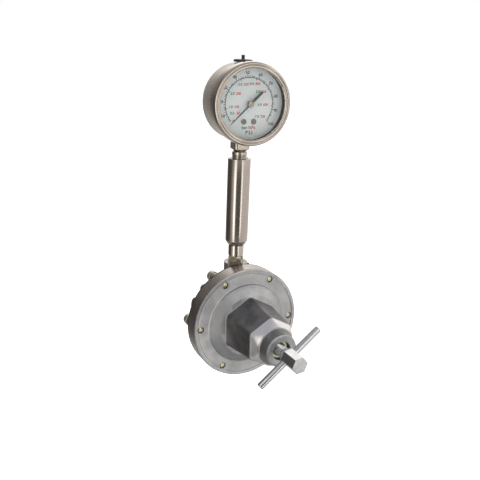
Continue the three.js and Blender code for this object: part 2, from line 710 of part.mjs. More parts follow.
function gaugeSocket() {
  const shank = turnedUpright([
    [0, fromGauge(tubeUpperSeat + restrictorThickness + 2 * gap)],
    [pipeRadius - 0.6, fromGauge(tubeUpperSeat + restrictorThickness + 2 * gap)],
    [pipeRadius, fromGauge(tubeUpperSeat + restrictorThickness + 2 * gap + 0.8)],
    [pipeRadius, fromGauge(socketFlatsBottom)], [0, fromGauge(socketFlatsBottom)],
  ]);
  const half = socketAcross / 2;
  const square = block(point(-half, -half, fromGauge(socketFlatsBottom - 2.4)),
    point(half, half, fromGauge(socketFlatsTop)));
  const turnedBlank = turnedUpright([
    [0, fromGauge(socketFlatsBottom - 2.4)], [pipeRadius, fromGauge(socketFlatsBottom - 2.4)],
    [socketCornerRadius, fromGauge(socketFlatsBottom)], [socketCornerRadius, fromGauge(socketFlatsTop)],
    [0, fromGauge(socketFlatsTop)],
  ]);
  const neck = turnedUpright([
    [0, fromGauge(socketFlatsTop - 1)], [socketNeckRadius, fromGauge(socketFlatsTop - 1)],
    [socketNeckRadius, 3 - caseRadius], [0, 3 - caseRadius],
  ]);
  const carrierFoot = gap - Math.sqrt((caseRadius - caseWall) ** 2 - socketBlockHalfWidth ** 2);
  const carrier = block(point(-socketBlockHalfWidth, gap - movementBack, carrierFoot),
    point(socketBlockHalfWidth, bourdonSetback + bourdonWidth / 2 + gap, -socketBlockTop));
  return joined([shank, common(square, turnedBlank), neck, carrier]);
}
add(gaugeFrame, 'gauge_socket', gaugeSocket(), brass);

add(gaugeFrame, 'socket_seal', turnedUpright([
  [socketNeckRadius + gap, fromGauge(socketFlatsTop + gap)],
  [socketCornerRadius - 0.6, fromGauge(socketFlatsTop + gap)],
  [socketCornerRadius - 0.6, -caseRadius - gap], [socketNeckRadius + gap, -caseRadius - gap],
]), rubber);

class GaugeArc extends THREE.Curve {
  getPoint(t, target = new THREE.Vector3()) {
    const angle = bourdonStart + (bourdonEnd - bourdonStart) * t;
    return target.set(bourdonRadius * Math.cos(angle), bourdonSetback, bourdonRadius * Math.sin(angle));
  }
}

function bourdonTube() {
  const section = new THREE.Shape();
  section.absellipse(0, 0, bourdonWidth / 2, bourdonStock / 2, 0, 2 * Math.PI);
  return new THREE.ExtrudeGeometry(section, {
    extrudePath: new GaugeArc(), steps: 36, curveSegments: 5, bevelEnabled: false,
  });
}
add(gaugeFrame, 'bourdon_tube', bourdonTube(), brass);

const onArc = (radius, angle) => point(radius * Math.cos(angle), 0, radius * Math.sin(angle));
const movementFront = movementBack + plateStock + movementSpace;
const sectorBack = movementBack + plateStock + 2.2;
const sectorFace = sectorBack + sectorThickness;
const sectorPivot = point(0, 0, -sectorPivotDrop);
const sectorTail = sectorPivot.clone().add(onArc(sectorTailLength, sectorTailTurn));
const pillarPlaces = [[-6.5, 4.5], [6.5, 4.5], [-6.5, -13.5]];
const dialScrewPlaces = [-dialScrewSpacing / 2, dialScrewSpacing / 2].map((x) => [x, -dialScrewDrop]);

function movementPlate(back, holes) {
  const low = point(-9, -back - plateStock, -dialScrewDrop - 2.6);
  const high = point(9, -back, 7);
  const through = holes.map(([x, z, radius]) =>
    rod(radius, point(x, -back - 2 * plateStock, z), point(x, plateStock - back, z), 12));
  return cut(block(low, high), through);
}
const arborHoles = [[0, 0, arborRadius + gap], [0, -sectorPivotDrop, arborRadius + gap]];
add(gaugeFrame, 'movement_back_plate', movementPlate(movementBack, arborHoles), brass);
add(gaugeFrame, 'movement_front_plate', movementPlate(movementFront, arborHoles), brass);

pillarPlaces.forEach(([x, z], i) => {
  const pillar = rod(pillarRadius, point(x, gap - movementFront, z),
    point(x, -movementBack - plateStock - gap, z), 12);
  add(gaugeFrame, `movement_pillar_${i + 1}`, pillar, brass);
});

add(gaugeFrame, 'pointer_arbor', turnedGauge([
  [0, movementBack - 0.6], [arborRadius, movementBack - 0.6], [arborRadius, sectorBack - 1],
  [pinionRadius, sectorBack - 1], [pinionRadius, sectorBack - 1 + pinionLength],
  [arborRadius, sectorBack - 1 + pinionLength], [arborRadius, pointerFace + 1.2], [0, pointerFace + 1.2],
], 12), brass);

function sectorGear() {
  const radius = sectorPivotDrop - pinionRadius - gap;
  const outline = new THREE.Shape();
  const first = Math.PI / 2 - sectorSweep - 0.06;
  outline.moveTo(0, -1.6);
  outline.lineTo(radius * Math.cos(first), radius * Math.sin(first));
  outline.absarc(0, 0, radius, first, Math.PI / 2 + 0.06);
  outline.lineTo(-1.6, 0);
  const web = platform(outline, -sectorFace, -sectorBack);
  const pivot = rod(arborRadius, point(0, -movementFront - plateStock, 0), point(0, -movementBack, 0), 12);
  const boss = rod(2, point(0, -sectorFace - 0.6, 0), point(0, -sectorBack + 0.6, 0));
  const end = onArc(sectorTailLength, sectorTailTurn);
  const arm = new THREE.BoxGeometry(sectorTailLength, sectorThickness, 2)
    .translate(sectorTailLength / 2, -(sectorBack + sectorFace) / 2, 0).rotateY(-sectorTailTurn);
  const eye = rod(2, point(end.x, -sectorFace, end.z), point(end.x, -sectorBack, end.z));
  const eyeHole = rod(linkPinRadius + 0.7, point(end.x, -sectorFace - 1, end.z),
    point(end.x, 1 - sectorBack, end.z), 12);
  return cut(joined([web, boss, arm, eye, pivot]), [eyeHole]).translate(0, 0, -sectorPivotDrop);
}
add(gaugeFrame, 'sector_gear', sectorGear(), brass);

const tipPlace = onArc(bourdonRadius, bourdonEnd);
const linkBack = sectorFace + gap;
const linkFace = linkBack + 0.8;

function tipLink() {
  const along = tipPlace.clone().sub(sectorTail);
  const middle = tipPlace.clone().add(sectorTail).multiplyScalar(0.5);
  const strap = new THREE.BoxGeometry(along.length(), linkFace - linkBack, 2.2)
    .rotateY(-Math.atan2(along.z, along.x)).translate(middle.x, -(linkBack + linkFace) / 2, middle.z);
  const eyes = [sectorTail, tipPlace].map((place) =>
    rod(1.6, point(place.x, -linkFace, place.z), point(place.x, -linkBack, place.z)));
  const pin = rod(linkPinRadius, point(sectorTail.x, -linkFace, sectorTail.z),
    point(sectorTail.x, 0.6 - sectorBack, sectorTail.z), 12);
  return joined([strap, ...eyes, pin]);
}
add(gaugeFrame, 'tip_link', tipLink(), brass);

function bourdonTip() {
  const half = 2.2;
  const clearOfTube = bourdonStock / 2 + gap + 0.2;
  return block(point(tipPlace.x - half, gap - linkBack, tipPlace.z - clearOfTube - 2.6),
    point(tipPlace.x + half, bourdonSetback + bourdonWidth / 2, tipPlace.z - clearOfTube + 0.4));
}
add(gaugeFrame, 'bourdon_tip', bourdonTip(), brass);

class Spiral extends THREE.Curve {
  getPoint(t, target = new THREE.Vector3()) {
    const angle = 3 * 2 * Math.PI * t;
    const radius = arborRadius + 1 + 3.4 * t;
    return target.set(radius * Math.cos(angle), 0, radius * Math.sin(angle));
  }
}

function hairspring() {
  const section = new THREE.Shape();
  section.moveTo(-0.4, -0.15);
  section.lineTo(0.4, -0.15);
  section.lineTo(0.4, 0.15);
  section.lineTo(-0.4, 0.15);
  const spring = new THREE.ExtrudeGeometry(section, {
    extrudePath: new Spiral(), steps: 54, bevelEnabled: false,
  });
  return spring.translate(0, -(movementFront - 1.1), 0);
}
add(gaugeFrame, 'hairspring', hairspring(), bronze);

// ---------- dial and pointer ----------

function dial() {
  const disc = turnedGauge([
    [arborRadius + 0.8, dialFace - dialThickness], [dialRadius, dialFace - dialThickness],
    [dialRadius, dialFace], [arborRadius + 0.8, dialFace],
  ], fineSides);
  const holes = dialScrewPlaces.map(([x, z]) =>
    rod(dialScrewShankRadius + gap, point(x, -dialFace - 1, z), point(x, 2 - dialFace, z), 12));
  return cut(disc, holes);
}
add(gaugeFrame, 'gauge_dial', dial(), dialWhite);

dialScrewPlaces.forEach(([x, z], i) => {
  const seat = dialFace + gap;
  const screw = turnedGauge([
    [0, movementFront + plateStock + gap], [dialScrewShankRadius, movementFront + plateStock + gap],
    [dialScrewShankRadius, seat], [dialScrewHeadRadius, seat], [dialScrewHeadRadius, seat + 0.7],
    [dialScrewHeadRadius - 0.7, seat + 1.3], [0, seat + 1.3],
  ], smallSides);
  const slot = block(point(-4, -seat - 3, -0.3), point(4, -seat - 0.7, 0.3));
  add(gaugeFrame, `dial_screw_${i + 1}`, cut(screw, [slot]).translate(x, 0, z), platedSteel);
});

function pointer() {
  const outline = new THREE.Shape();
  outline.moveTo(-pointerTail, -1.1);
  outline.lineTo(0, -0.9);
  outline.lineTo(pointerTip - 3, -0.45);
  outline.lineTo(pointerTip, 0);
  outline.lineTo(pointerTip - 3, 0.45);
  outline.lineTo(0, 0.9);
  outline.lineTo(-pointerTail, 1.1);
  const blade = platform(outline, -pointerFace, pointerThickness - pointerFace).rotateY(-pointerRest);
  const hub = turnedGauge([
    [0, pointerFace - 1.5], [pointerHubRadius - 0.4, pointerFace - 1.5],
    [pointerHubRadius, pointerFace - 1.1],
    [pointerHubRadius, pointerFace + 0.5], [pointerHubRadius - 0.6, pointerFace + 1], [0, pointerFace + 1],
  ]);
  const bore = rod(arborRadius + gap, point(0, -pointerFace - 3, 0), point(0, 3 - pointerFace, 0), 12);
  return cut(joined([blade, hub]), [bore]);
}
add(gaugeFrame, 'gauge_pointer', pointer(), pointerBlack);

// the mounting pad on the back of the body becomes the origin
clampFrame.position.y = -bodyDepth;

export default regulator;
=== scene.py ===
import json
from math import atan2, cos, pi, radians, sin, sqrt

import bmesh
import bpy
from mathutils import Matrix, Quaternion, Vector

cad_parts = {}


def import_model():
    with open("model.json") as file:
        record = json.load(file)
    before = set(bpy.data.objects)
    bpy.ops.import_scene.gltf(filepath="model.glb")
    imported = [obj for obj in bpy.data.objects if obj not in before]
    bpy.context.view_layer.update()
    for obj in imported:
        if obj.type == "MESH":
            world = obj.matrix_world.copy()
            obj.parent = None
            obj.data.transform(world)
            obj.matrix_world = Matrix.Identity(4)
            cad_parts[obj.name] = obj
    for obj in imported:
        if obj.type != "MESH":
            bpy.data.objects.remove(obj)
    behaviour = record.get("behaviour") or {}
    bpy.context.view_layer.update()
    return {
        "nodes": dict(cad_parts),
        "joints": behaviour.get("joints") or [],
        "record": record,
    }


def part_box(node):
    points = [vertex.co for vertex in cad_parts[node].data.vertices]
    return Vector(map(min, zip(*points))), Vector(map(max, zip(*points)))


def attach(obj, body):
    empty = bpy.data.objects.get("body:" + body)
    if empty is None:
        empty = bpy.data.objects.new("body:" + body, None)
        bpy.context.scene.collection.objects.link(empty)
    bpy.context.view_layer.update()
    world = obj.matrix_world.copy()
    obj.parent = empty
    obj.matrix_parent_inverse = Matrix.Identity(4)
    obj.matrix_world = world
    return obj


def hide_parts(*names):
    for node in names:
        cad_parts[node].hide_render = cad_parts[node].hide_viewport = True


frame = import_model()

# ---------- body ----------
# The back half of the regulator: a lobed flange, a square block, two port bosses, the boss for the gauge
# pipe and a round hub. Cast stainless steel, blasted all over, with its port rims and pad machined.

MM = 0.001
POLE = 0.0005    # the radius of a ring that closes a skin
MERGE = 0.0016   # points nearer than this become one
FINE = 144       # segments round the larger turned shapes


def box_mm(node):
    """The lowest and highest corner of a CAD node in millimetres."""
    low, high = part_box(node)
    return low / MM, high / MM


def polygon_reach(angle, radius, corners, rounding):
    """How far a polygon with rounded corners reaches at an angle from its first corner."""
    half = pi / corners
    off = abs((angle + half) % (2 * half) - half)
    flat = radius * cos(half)
    centre = (flat - rounding) / cos(half)
    tangent = atan2(rounding * sin(half), centre + rounding * cos(half))
    if off < tangent:
        return centre * cos(off) + sqrt(rounding**2 - (centre * sin(off)) ** 2)
    return flat / cos(half - off)


def lofted(rings, segments=96, along=1):
    """A skin over rings: (radius, place on the axis), or with a polygon's corners, rounding and turn too."""
    wide, tall = [axis for axis in range(3) if axis != along]
    bm = bmesh.new()
    bmesh.ops.create_circle(bm, segments=segments, radius=1)
    angles = {vert: atan2(vert.co.y, vert.co.x) for vert in bm.verts}
    edges = list(bm.edges)
    for number, ring in enumerate(rings):
        if number:
            grown = bmesh.ops.extrude_edge_only(bm, edges=edges)["geom"]
            fresh = {part for part in grown if isinstance(part, bmesh.types.BMVert)}
            new_edges = [part for part in grown if isinstance(part, bmesh.types.BMEdge)]
            edges = [edge for edge in new_edges if fresh.issuperset(edge.verts)]
            angles = {vert: atan2(vert.co[tall], vert.co[wide]) for vert in fresh}
        for vert, angle in angles.items():
            reach = max(ring[0], POLE)
            if len(ring) > 2:
                reach = polygon_reach(angle - ring[4], ring[0], ring[2], ring[3])
            vert.co[wide] = reach * cos(angle)
            vert.co[tall] = reach * sin(angle)
            vert.co[along] = ring[1]
    return tidy(bm)


def stepped(radius, place, steps):
    """Rings given by how far each stands out from a radius and on from a place."""
    return [(radius + out, place + on) for out, on in steps]


def tidy(bm):
    bmesh.ops.remove_doubles(bm, verts=bm.verts, dist=MERGE)
    bmesh.ops.dissolve_degenerate(bm, edges=bm.edges, dist=MERGE / 2)
    bmesh.ops.recalc_face_normals(bm, faces=bm.faces)
    return bm


def moved(bm, matrix):
    bmesh.ops.transform(bm, matrix=matrix, verts=bm.verts)
    return bm


def box_shape(size, centre):
    bm = bmesh.new()
    bmesh.ops.create_cube(bm, size=1)
    bmesh.ops.scale(bm, vec=Vector(size), verts=bm.verts)
    bmesh.ops.translate(bm, vec=Vector(centre), verts=bm.verts)
    return bm


def softened(bm, width):
    """The same solid with every sharp edge rounded."""
    sharp = radians(30)
    edges = [edge for edge in bm.edges if edge.is_manifold and edge.calc_face_angle(0) > sharp]
    bmesh.ops.bevel(
        bm, geom=edges, offset=width, offset_type="OFFSET", segments=2, profile=0.5,
        affect="EDGES", clamp_overlap=True, material=-1,
    )
    return bm


def combined(solids, operation):
    """The first solid with the others joined to it, or cut from it."""
    objects = []
    for solid in solids:
        mesh = bpy.data.meshes.new("solid")
        solid.to_mesh(mesh)
        solid.free()
        objects.append(bpy.data.objects.new("solid", mesh))
        bpy.context.scene.collection.objects.link(objects[-1])
    for other in objects[1:]:
        modifier = objects[0].modifiers.new("solid", "BOOLEAN")
        modifier.operation = operation
        modifier.solver = "EXACT"
        modifier.object = other
    result = bmesh.new()
    result.from_object(objects[0], bpy.context.evaluated_depsgraph_get())
    for thing in objects:
        bpy.data.objects.remove(thing)
    return tidy(result)


def piece(bm, name, material, stands_for=(), body="root", sharp=32):
    """The finished object of a shape made in millimetres."""
    bmesh.ops.scale(bm, vec=Vector((MM, MM, MM)), verts=bm.verts)
    mesh = bpy.data.meshes.new(name)
    bm.to_mesh(mesh)
    bm.free()
    mesh.shade_smooth()
    mesh.set_sharp_from_angle(angle=radians(sharp))
    thing = bpy.data.objects.new(name, mesh)
    bpy.context.scene.collection.objects.link(thing)
    mesh.materials.append(material)
    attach(thing, body)
    if stands_for:
        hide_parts(*stands_for)


def node_group(name, inputs, outputs):
    """An empty shader group; its sockets are given as names with their values."""
    tree = bpy.data.node_groups.new(name, "ShaderNodeTree")
    for socket, value in inputs.items():
        kind = "NodeSocketVector" if value is None else "NodeSocketFloat"
        made = tree.interface.new_socket(name=socket, in_out="INPUT", socket_type=kind)
        if value is not None:
            made.default_value = value
    for socket in outputs:
        tree.interface.new_socket(name=socket, in_out="OUTPUT", socket_type="NodeSocketFloat")
    return tree, tree.nodes.new("NodeGroupInput"), tree.nodes.new("NodeGroupOutput")


def feed(node, socket, value):
    """Links a socket to a node's input, or sets a number there."""
    if isinstance(value, bpy.types.NodeSocket):
        node.id_data.links.new(value, node.inputs[socket])
    else:
        node.inputs[socket].default_value = value


def maths(operation, first, second):
    """A sum of sockets or numbers, in the tree of the first socket."""
    tree = next(value for value in (first, second) if isinstance(value, bpy.types.NodeSocket)).id_data
    made = tree.nodes.new("ShaderNodeMath")
    made.operation = operation
    feed(made, 0, first)
    feed(made, 1, second)
    return made.outputs[0]


def times(first, second):
    return maths("MULTIPLY", first, second)


def spread(value, low, high, to_low=0.0, to_high=1.0):
    """A value's smooth change from one number to another."""
    made = value.id_data.nodes.new("ShaderNodeMapRange")
    made.interpolation_type = "SMOOTHSTEP"
    feed(made, "Value", value)
    for socket, number in zip(("From Min", "From Max", "To Min", "To Max"), (low, high, to_low, to_high)):
        made.inputs[socket].default_value = number
    return made.outputs[0]


def noise(vector, scale, detail=3.0, roughness=0.55):
    made = vector.id_data.nodes.new("ShaderNodeTexNoise")
    feed(made, "Vector", vector)
    feed(made, "Scale", scale)
    feed(made, "Detail", detail)
    feed(made, "Roughness", roughness)
    return made.outputs["Fac"]


def joined(x, y, z):
    """A vector made of separate parts."""
    made = x.id_data.nodes.new("ShaderNodeCombineXYZ")
    for number, value in enumerate((x, y, z)):
        feed(made, number, value)
    return made.outputs[0]


def parted(vector):
    made = vector.id_data.nodes.new("ShaderNodeSeparateXYZ")
    feed(made, 0, vector)
    return made.outputs


# Blotches and fine pits of a cast or blasted surface.
cast_skin, skin_in, skin_out = node_group("cast_skin", {"Vector": None, "Scale": 90.0}, ("Blotches", "Pits"))
skin_at, skin_scale = skin_in.outputs["Vector"], skin_in.outputs["Scale"]
feed(skin_out, "Blotches", spread(noise(skin_at, skin_scale, 4, 0.6), 0.3, 0.7))
feed(skin_out, "Pits", spread(noise(skin_at, times(skin_scale, 14), 2), 0.3, 0.62))

# Edges that handling has rubbed bright: where a rounded normal leaves the true one.
rubbed_edges, rub_in, rub_out = node_group("rubbed_edges", {"Radius": 0.0006}, ("Mask",))
rounded = rubbed_edges.nodes.new("ShaderNodeBevel")
rounded.samples = 4
feed(rounded, "Radius", rub_in.outputs["Radius"])
true_normal = rubbed_edges.nodes.new("ShaderNodeNewGeometry")
agreement = rubbed_edges.nodes.new("ShaderNodeVectorMath")
agreement.operation = "DOT_PRODUCT"
feed(agreement, 0, rounded.outputs[0])
feed(agreement, 1, true_normal.outputs["Normal"])
feed(rub_out, "Mask", spread(agreement.outputs["Value"], 0.93, 0.995, 1, 0))


def cast_marks(coordinates, scale):
    """The blotches and pits of a cast surface."""
    made = coordinates.id_data.nodes.new("ShaderNodeGroup")
    made.node_tree = cast_skin
    feed(made, "Vector", coordinates)
    feed(made, "Scale", scale)
    return made.outputs


def rubbed(coordinates, radius):
    made = coordinates.id_data.nodes.new("ShaderNodeGroup")
    made.node_tree = rubbed_edges
    feed(made, "Radius", radius)
    return made.outputs["Mask"]


def surface(name, color, roughness, metallic=1.0):
    """A material with its shader and the piece's own coordinates."""
    material = bpy.data.materials.new(name)
    material.use_nodes = True
    nodes = material.node_tree.nodes
    shader = nodes["Principled BSDF"]
    feed(shader, "Base Color", (*color, 1))
    feed(shader, "Roughness", roughness)
    feed(shader, "Metallic", metallic)
    return material, shader, nodes.new("ShaderNodeTexCoord").outputs["Object"]


def blended(factor, first, second):
    """A colour between two, each a colour or a socket."""
    made = factor.id_data.nodes.new("ShaderNodeMix")
    made.data_type = "RGBA"
    feed(made, "Factor", factor)
    for socket, value in (("A", first), ("B", second)):
        feed(made, socket, value if isinstance(value, bpy.types.NodeSocket) else (*value, 1))
    return made.outputs["Result"]


def raised(shader, height, distance):
    """A height that feeds the shader's normal; the distance is in millimetres."""
    bump = shader.id_data.nodes.new("ShaderNodeBump")
    feed(bump, "Distance", distance * MM)
    feed(bump, "Height", height)
    feed(shader, "Normal", bump.outputs["Normal"])


def cast_metal(name, light, dark, bright, roughness, scale, pit_depth):
    """Blotchy cast metal with pits, brighter where its edges are rubbed."""
    material, shader, coordinates = surface(name, light, roughness)
    skin = cast_marks(coordinates, scale)
    rub = rubbed(coordinates, 0.0007)
    blotched = blended(skin["Blotches"], dark, light)
    feed(shader, "Base Color", blended(rub, blotched, bright))
    mottled = spread(skin["Blotches"], 0, 1, roughness + 0.06, roughness - 0.06)
    feed(shader, "Roughness", maths("SUBTRACT", mottled, times(rub, 0.12)))
    raised(shader, skin["Pits"], pit_depth)
    return material


blasted_steel = cast_metal(
    "blasted_steel", light=(0.55, 0.54, 0.52), dark=(0.40, 0.39, 0.38), bright=(0.78, 0.77, 0.75),
    roughness=0.38, scale=110, pit_depth=0.03,
)

body_low, body_high = box_mm("body")
cap_low, cap_high = box_mm("spring_cap")
stem_low, stem_high = box_mm("extension_tube")
stem_y = (stem_low.y + stem_high.y) / 2
pad = body_high.y
body_face = cap_high.y + 1.8
flange_back = body_face + 6.9
block_back = pad - 22
block_height = 57.2
port_axis = pad - 14
port_boss_radius = 12
port_radius = 8.6
port_depth = 11
hub_radius = 24
body_flange_radius = 43
chamber_radius = 33
chamber_floor = body_face + 7.1
valve_bore_radius = 12.2
valve_bore_end = pad - 30.6
bracket_tap_radius = 2.1
bracket_tap_z = 17
inlet, outlet = (
    next(mount["pos_m"][0] / MM for mount in frame["record"]["mounts"] if mount["name"] == name)
    for name in ("inlet_face", "outlet_face")
)
screw_count = 6
screw_circle = 44.2
screw_lobe_radius = 4.6
screw_hole_radius = 3.15
boss_top = body_high.z
boss_radius = 10.6
boss_flat = 9
boss_low = 27
over = 1    # how far a cut passes the face that it opens


def pillar(radius, low, high, along=1, segments=48, at=(0, 0, 0)):
    rings = [(0, low), (radius, low), (radius, high), (0, high)]
    return moved(lofted(rings, segments, along), Matrix.Translation(at))


def screw_pillars(radius, low, high):
    angles = (number * 2 * pi / screw_count for number in range(screw_count))
    return [
        pillar(radius, low, high, at=(screw_circle * cos(angle), 0, screw_circle * sin(angle)))
        for angle in angles
    ]


def rounded_block(width, height, low, high, corner):
    bm = box_shape((width, high - low, height), (0, (low + high) / 2, 0))
    lengthwise = [edge for edge in bm.edges if abs(edge.verts[0].co.y - edge.verts[1].co.y) > 1e-6]
    bmesh.ops.bevel(
        bm, geom=lengthwise, offset=corner, offset_type="OFFSET", segments=6, profile=0.5,
        affect="EDGES", material=-1,
    )
    return tidy(bm)


def gauge_boss():
    """The upright boss for the gauge pipe: round behind, with a flat front in line with the flange."""
    column = pillar(boss_radius, boss_low, boss_top, along=2, segments=96, at=(0, stem_y, 0))
    half = stem_y - body_face
    front = box_shape(
        (2 * boss_flat, half, boss_top - boss_low), (0, stem_y - half / 2, (boss_top + boss_low) / 2),
    )
    return [column, front]


def body_solid():
    flange = pillar(body_flange_radius, body_face, flange_back, segments=FINE)
    lobes = screw_pillars(screw_lobe_radius, body_face, flange_back)
    block = rounded_block(outlet - inlet, block_height, flange_back - 1, block_back, corner=4)
    hub = lofted([
        *stepped(0, block_back, [(0, -1), (hub_radius + 2, -1), (hub_radius, 3)]),
        (hub_radius, pad), (0, pad),
    ], FINE)
    bosses = pillar(port_boss_radius, inlet, outlet, along=0, at=(0, port_axis, 0), segments=96)
    return combined([flange, *lobes, block, hub, bosses, *gauge_boss()], "UNION")


def body_cuts():
    chamber = pillar(chamber_radius, body_face - over, chamber_floor, segments=FINE)
    valve_bore = pillar(valve_bore_radius, body_face + 6, valve_bore_end)
    ports = [
        pillar(port_radius, low, high, along=0, at=(0, port_axis, 0), segments=96)
        for low, high in ((inlet - over, inlet + port_depth), (outlet - port_depth, outlet + over))
    ]
    pipe = pillar(7.15, boss_top - 10.3, boss_top + over, along=2, at=(0, stem_y, 0))
    holes = screw_pillars(screw_hole_radius, body_face - over, flange_back + over)
    taps = [
        pillar(bracket_tap_radius, pad - 7, pad + over, at=(0, 0, z), segments=32)
        for z in (-bracket_tap_z, bracket_tap_z)
    ]
    return [chamber, valve_bore, *ports, pipe, *holes, *taps]


body_shape = softened(combined([body_solid(), *body_cuts()], "DIFFERENCE"), 0.35)
piece(body_shape, "cast_body", blasted_steel, ["body"])

# ---------- flange screws ----------
# Six M5 socket-head screws pass through the body's lobes and the diaphragm and thread into the cap, where
# their tips show in the holes. Cold-formed steel with a pale yellow zinc plate.


def streaked(coordinates, stretch, detail=3.0):
    """Fine lines of a tool or a brush: noise stretched by a scale along each axis, per millimetre."""
    mapping = coordinates.id_data.nodes.new("ShaderNodeMapping")
    feed(mapping, "Scale", [scale / MM for scale in stretch])
    feed(mapping, "Vector", coordinates)
    return noise(mapping.outputs[0], 1, detail, 0.6)


def plated_metal(name, color, shade, roughness, stretch, depth, patch=160):
    """Smooth metal with patches of tint, fine lines and rubbed edges."""
    material, shader, coordinates = surface(name, color, roughness)
    lines = streaked(coordinates, stretch)
    skin = cast_marks(coordinates, patch)
    tint = times(skin["Blotches"], spread(lines, 0.2, 0.7, 0.5, 1))
    feed(shader, "Base Color", blended(tint, shade, color))
    feed(shader, "Roughness", spread(lines, 0.25, 0.75, roughness * 0.75, roughness * 1.3))
    raised(shader, lines, depth)
    return material


yellow_zinc = plated_metal("yellow_zinc", (0.74, 0.70, 0.52), (0.56, 0.54, 0.42), 0.3, (0.4, 3, 0.4), 0.01)


def flange_screw(node):
    low, high = box_mm(node)
    at = (low + high) / 2
    head = flange_back + 0.3
    head_radius = 5
    shank_radius = 2.85
    socket = 5 / sqrt(3)
    screw = lofted([
        (0, low.y), (1.5, low.y), (2.15, low.y + 0.25), (shank_radius, low.y + 0.9), (shank_radius, head),
        (head_radius - 0.1, head), (head_radius, head + 0.1),
        *stepped(head_radius, high.y, [(0, -0.7), (-0.2, -0.25), (-0.7, 0), (-1.9, 0)]),
        (socket, high.y - 0.25, 6, 0.05, 0), (socket, high.y - 3.4, 6, 0.05, 0), (0, high.y - 4.2),
    ])
    moved(screw, Matrix.Translation((at.x, 0, at.z)))
    piece(screw, "socket_" + node, yellow_zinc, [node])


for number in range(screw_count):
    flange_screw(f"flange_screw_{number + 1}")

# ---------- valve ----------
# The seat screws into the body's bore on a small ring, and the poppet closes it from behind under its own
# spring. Turned stainless steel, shut away in the body, so the CAD's own shapes stay.


def finish_node(node, material):
    """A CAD node keeps its shape and gets its finish."""
    slots = frame["nodes"][node].data.materials
    slots.clear()
    slots.append(material)


turned_steel = plated_metal("turned_steel", (0.62, 0.58, 0.53), (0.5, 0.46, 0.42), 0.2, (0.3, 4, 0.3), 0.006)
spring_steel = plated_metal("spring_steel", (0.22, 0.22, 0.23), (0.12, 0.12, 0.12), 0.35, (1, 1, 1), 0.01)


def rubber_finish(name, color, roughness):
    """Moulded rubber: nearly black, with a soft sheen and a fine grain."""
    material, shader, coordinates = surface(name, color, roughness, 0)
    skin = cast_marks(coordinates, 220)
    lighter = [part * 2.4 for part in color]
    feed(shader, "Base Color", blended(skin["Blotches"], color, lighter))
    feed(shader, "Roughness", spread(skin["Pits"], 0, 1, roughness + 0.08, roughness - 0.08))
    raised(shader, skin["Pits"], 0.015)
    return material


black_rubber = rubber_finish("black_rubber", (0.006, 0.006, 0.007), 0.36)

for node in ("valve_seat", "valve_poppet"):
    finish_node(node, turned_steel)
finish_node("valve_spring", spring_steel)
finish_node("seat_o_ring", black_rubber)

# ---------- diaphragm ----------
# A rubber disc with one rolled convolution, clamped all round between body and cap, where its edge shows as
# a thin black line. Two plates and a nut grip its middle.

diaphragm_low, diaphragm_high = box_mm("diaphragm")
edge_radius = diaphragm_high.x + 0.15
sheet_front = diaphragm_low.y
sheet_back = diaphragm_low.y + 1.2
nut_hole = 3.5
roll = 31


def rolled_disc():
    front = stepped(roll, sheet_front, [(-3, 0), (-1.6, 1.2), (0, 2), (1.6, 1.2), (3, 0)])
    back = stepped(roll, sheet_back, [(2, 0), (1, 1.2), (0, 1.7), (-1, 1.2), (-2, 0)])
    start, edge = (nut_hole, sheet_front), [(edge_radius, sheet_front), (edge_radius, sheet_back)]
    holes = screw_pillars(screw_hole_radius + 0.25, sheet_front - 2, sheet_back + 2)
    disc = lofted([start, *front, *edge, *back, (nut_hole, sheet_back), start], FINE)
    return combined([disc, *holes], "DIFFERENCE")


piece(rolled_disc(), "rolled_diaphragm", black_rubber, ["diaphragm"])

bright_zinc = plated_metal(
    "bright_zinc", (0.76, 0.78, 0.8), (0.62, 0.64, 0.67), 0.16, (0.2, 2.5, 0.2), 0.006,
)
for node in ("diaphragm_plate", "diaphragm_nut"):
    finish_node(node, bright_zinc)
finish_node("diaphragm_pusher", turned_steel)

# ---------- range spring and button ----------
# The adjusting screw presses the button, and the button presses the range spring on the diaphragm plate.
# Both are shut away in the cap, so the CAD's own shapes stay.

finish_node("spring_button", bright_zinc)
finish_node("range_spring", spring_steel)

# ---------- spring cap ----------
# The front half: a round flange with a low plateau, a tapered hexagonal tower and a round nose. Die-cast
# aluminium; the flange's rim and the nose's face are machined after casting.

flange_radius = cap_high.x
cap_back = cap_high.y
rim_face = cap_back - 14.1
field_face = rim_face + 0.5
plateau_face = rim_face - 1.35
plateau_radius = 36.4
nose_front = cap_low.y
nose_base = nose_front + 9.7
tower_front = nose_base + 9.1
tower_start = plateau_face - 5.5
tower_turn = radians(31.5)
tower_foot = 27
tower_top = 22.95
tower_rounding = 4.2
nose_radius = 16.55
nose_tip = 14.2
bore_radius = 8.2
bore_floor = rim_face - 38.4
spring_room = 16
cap_chamber = 34


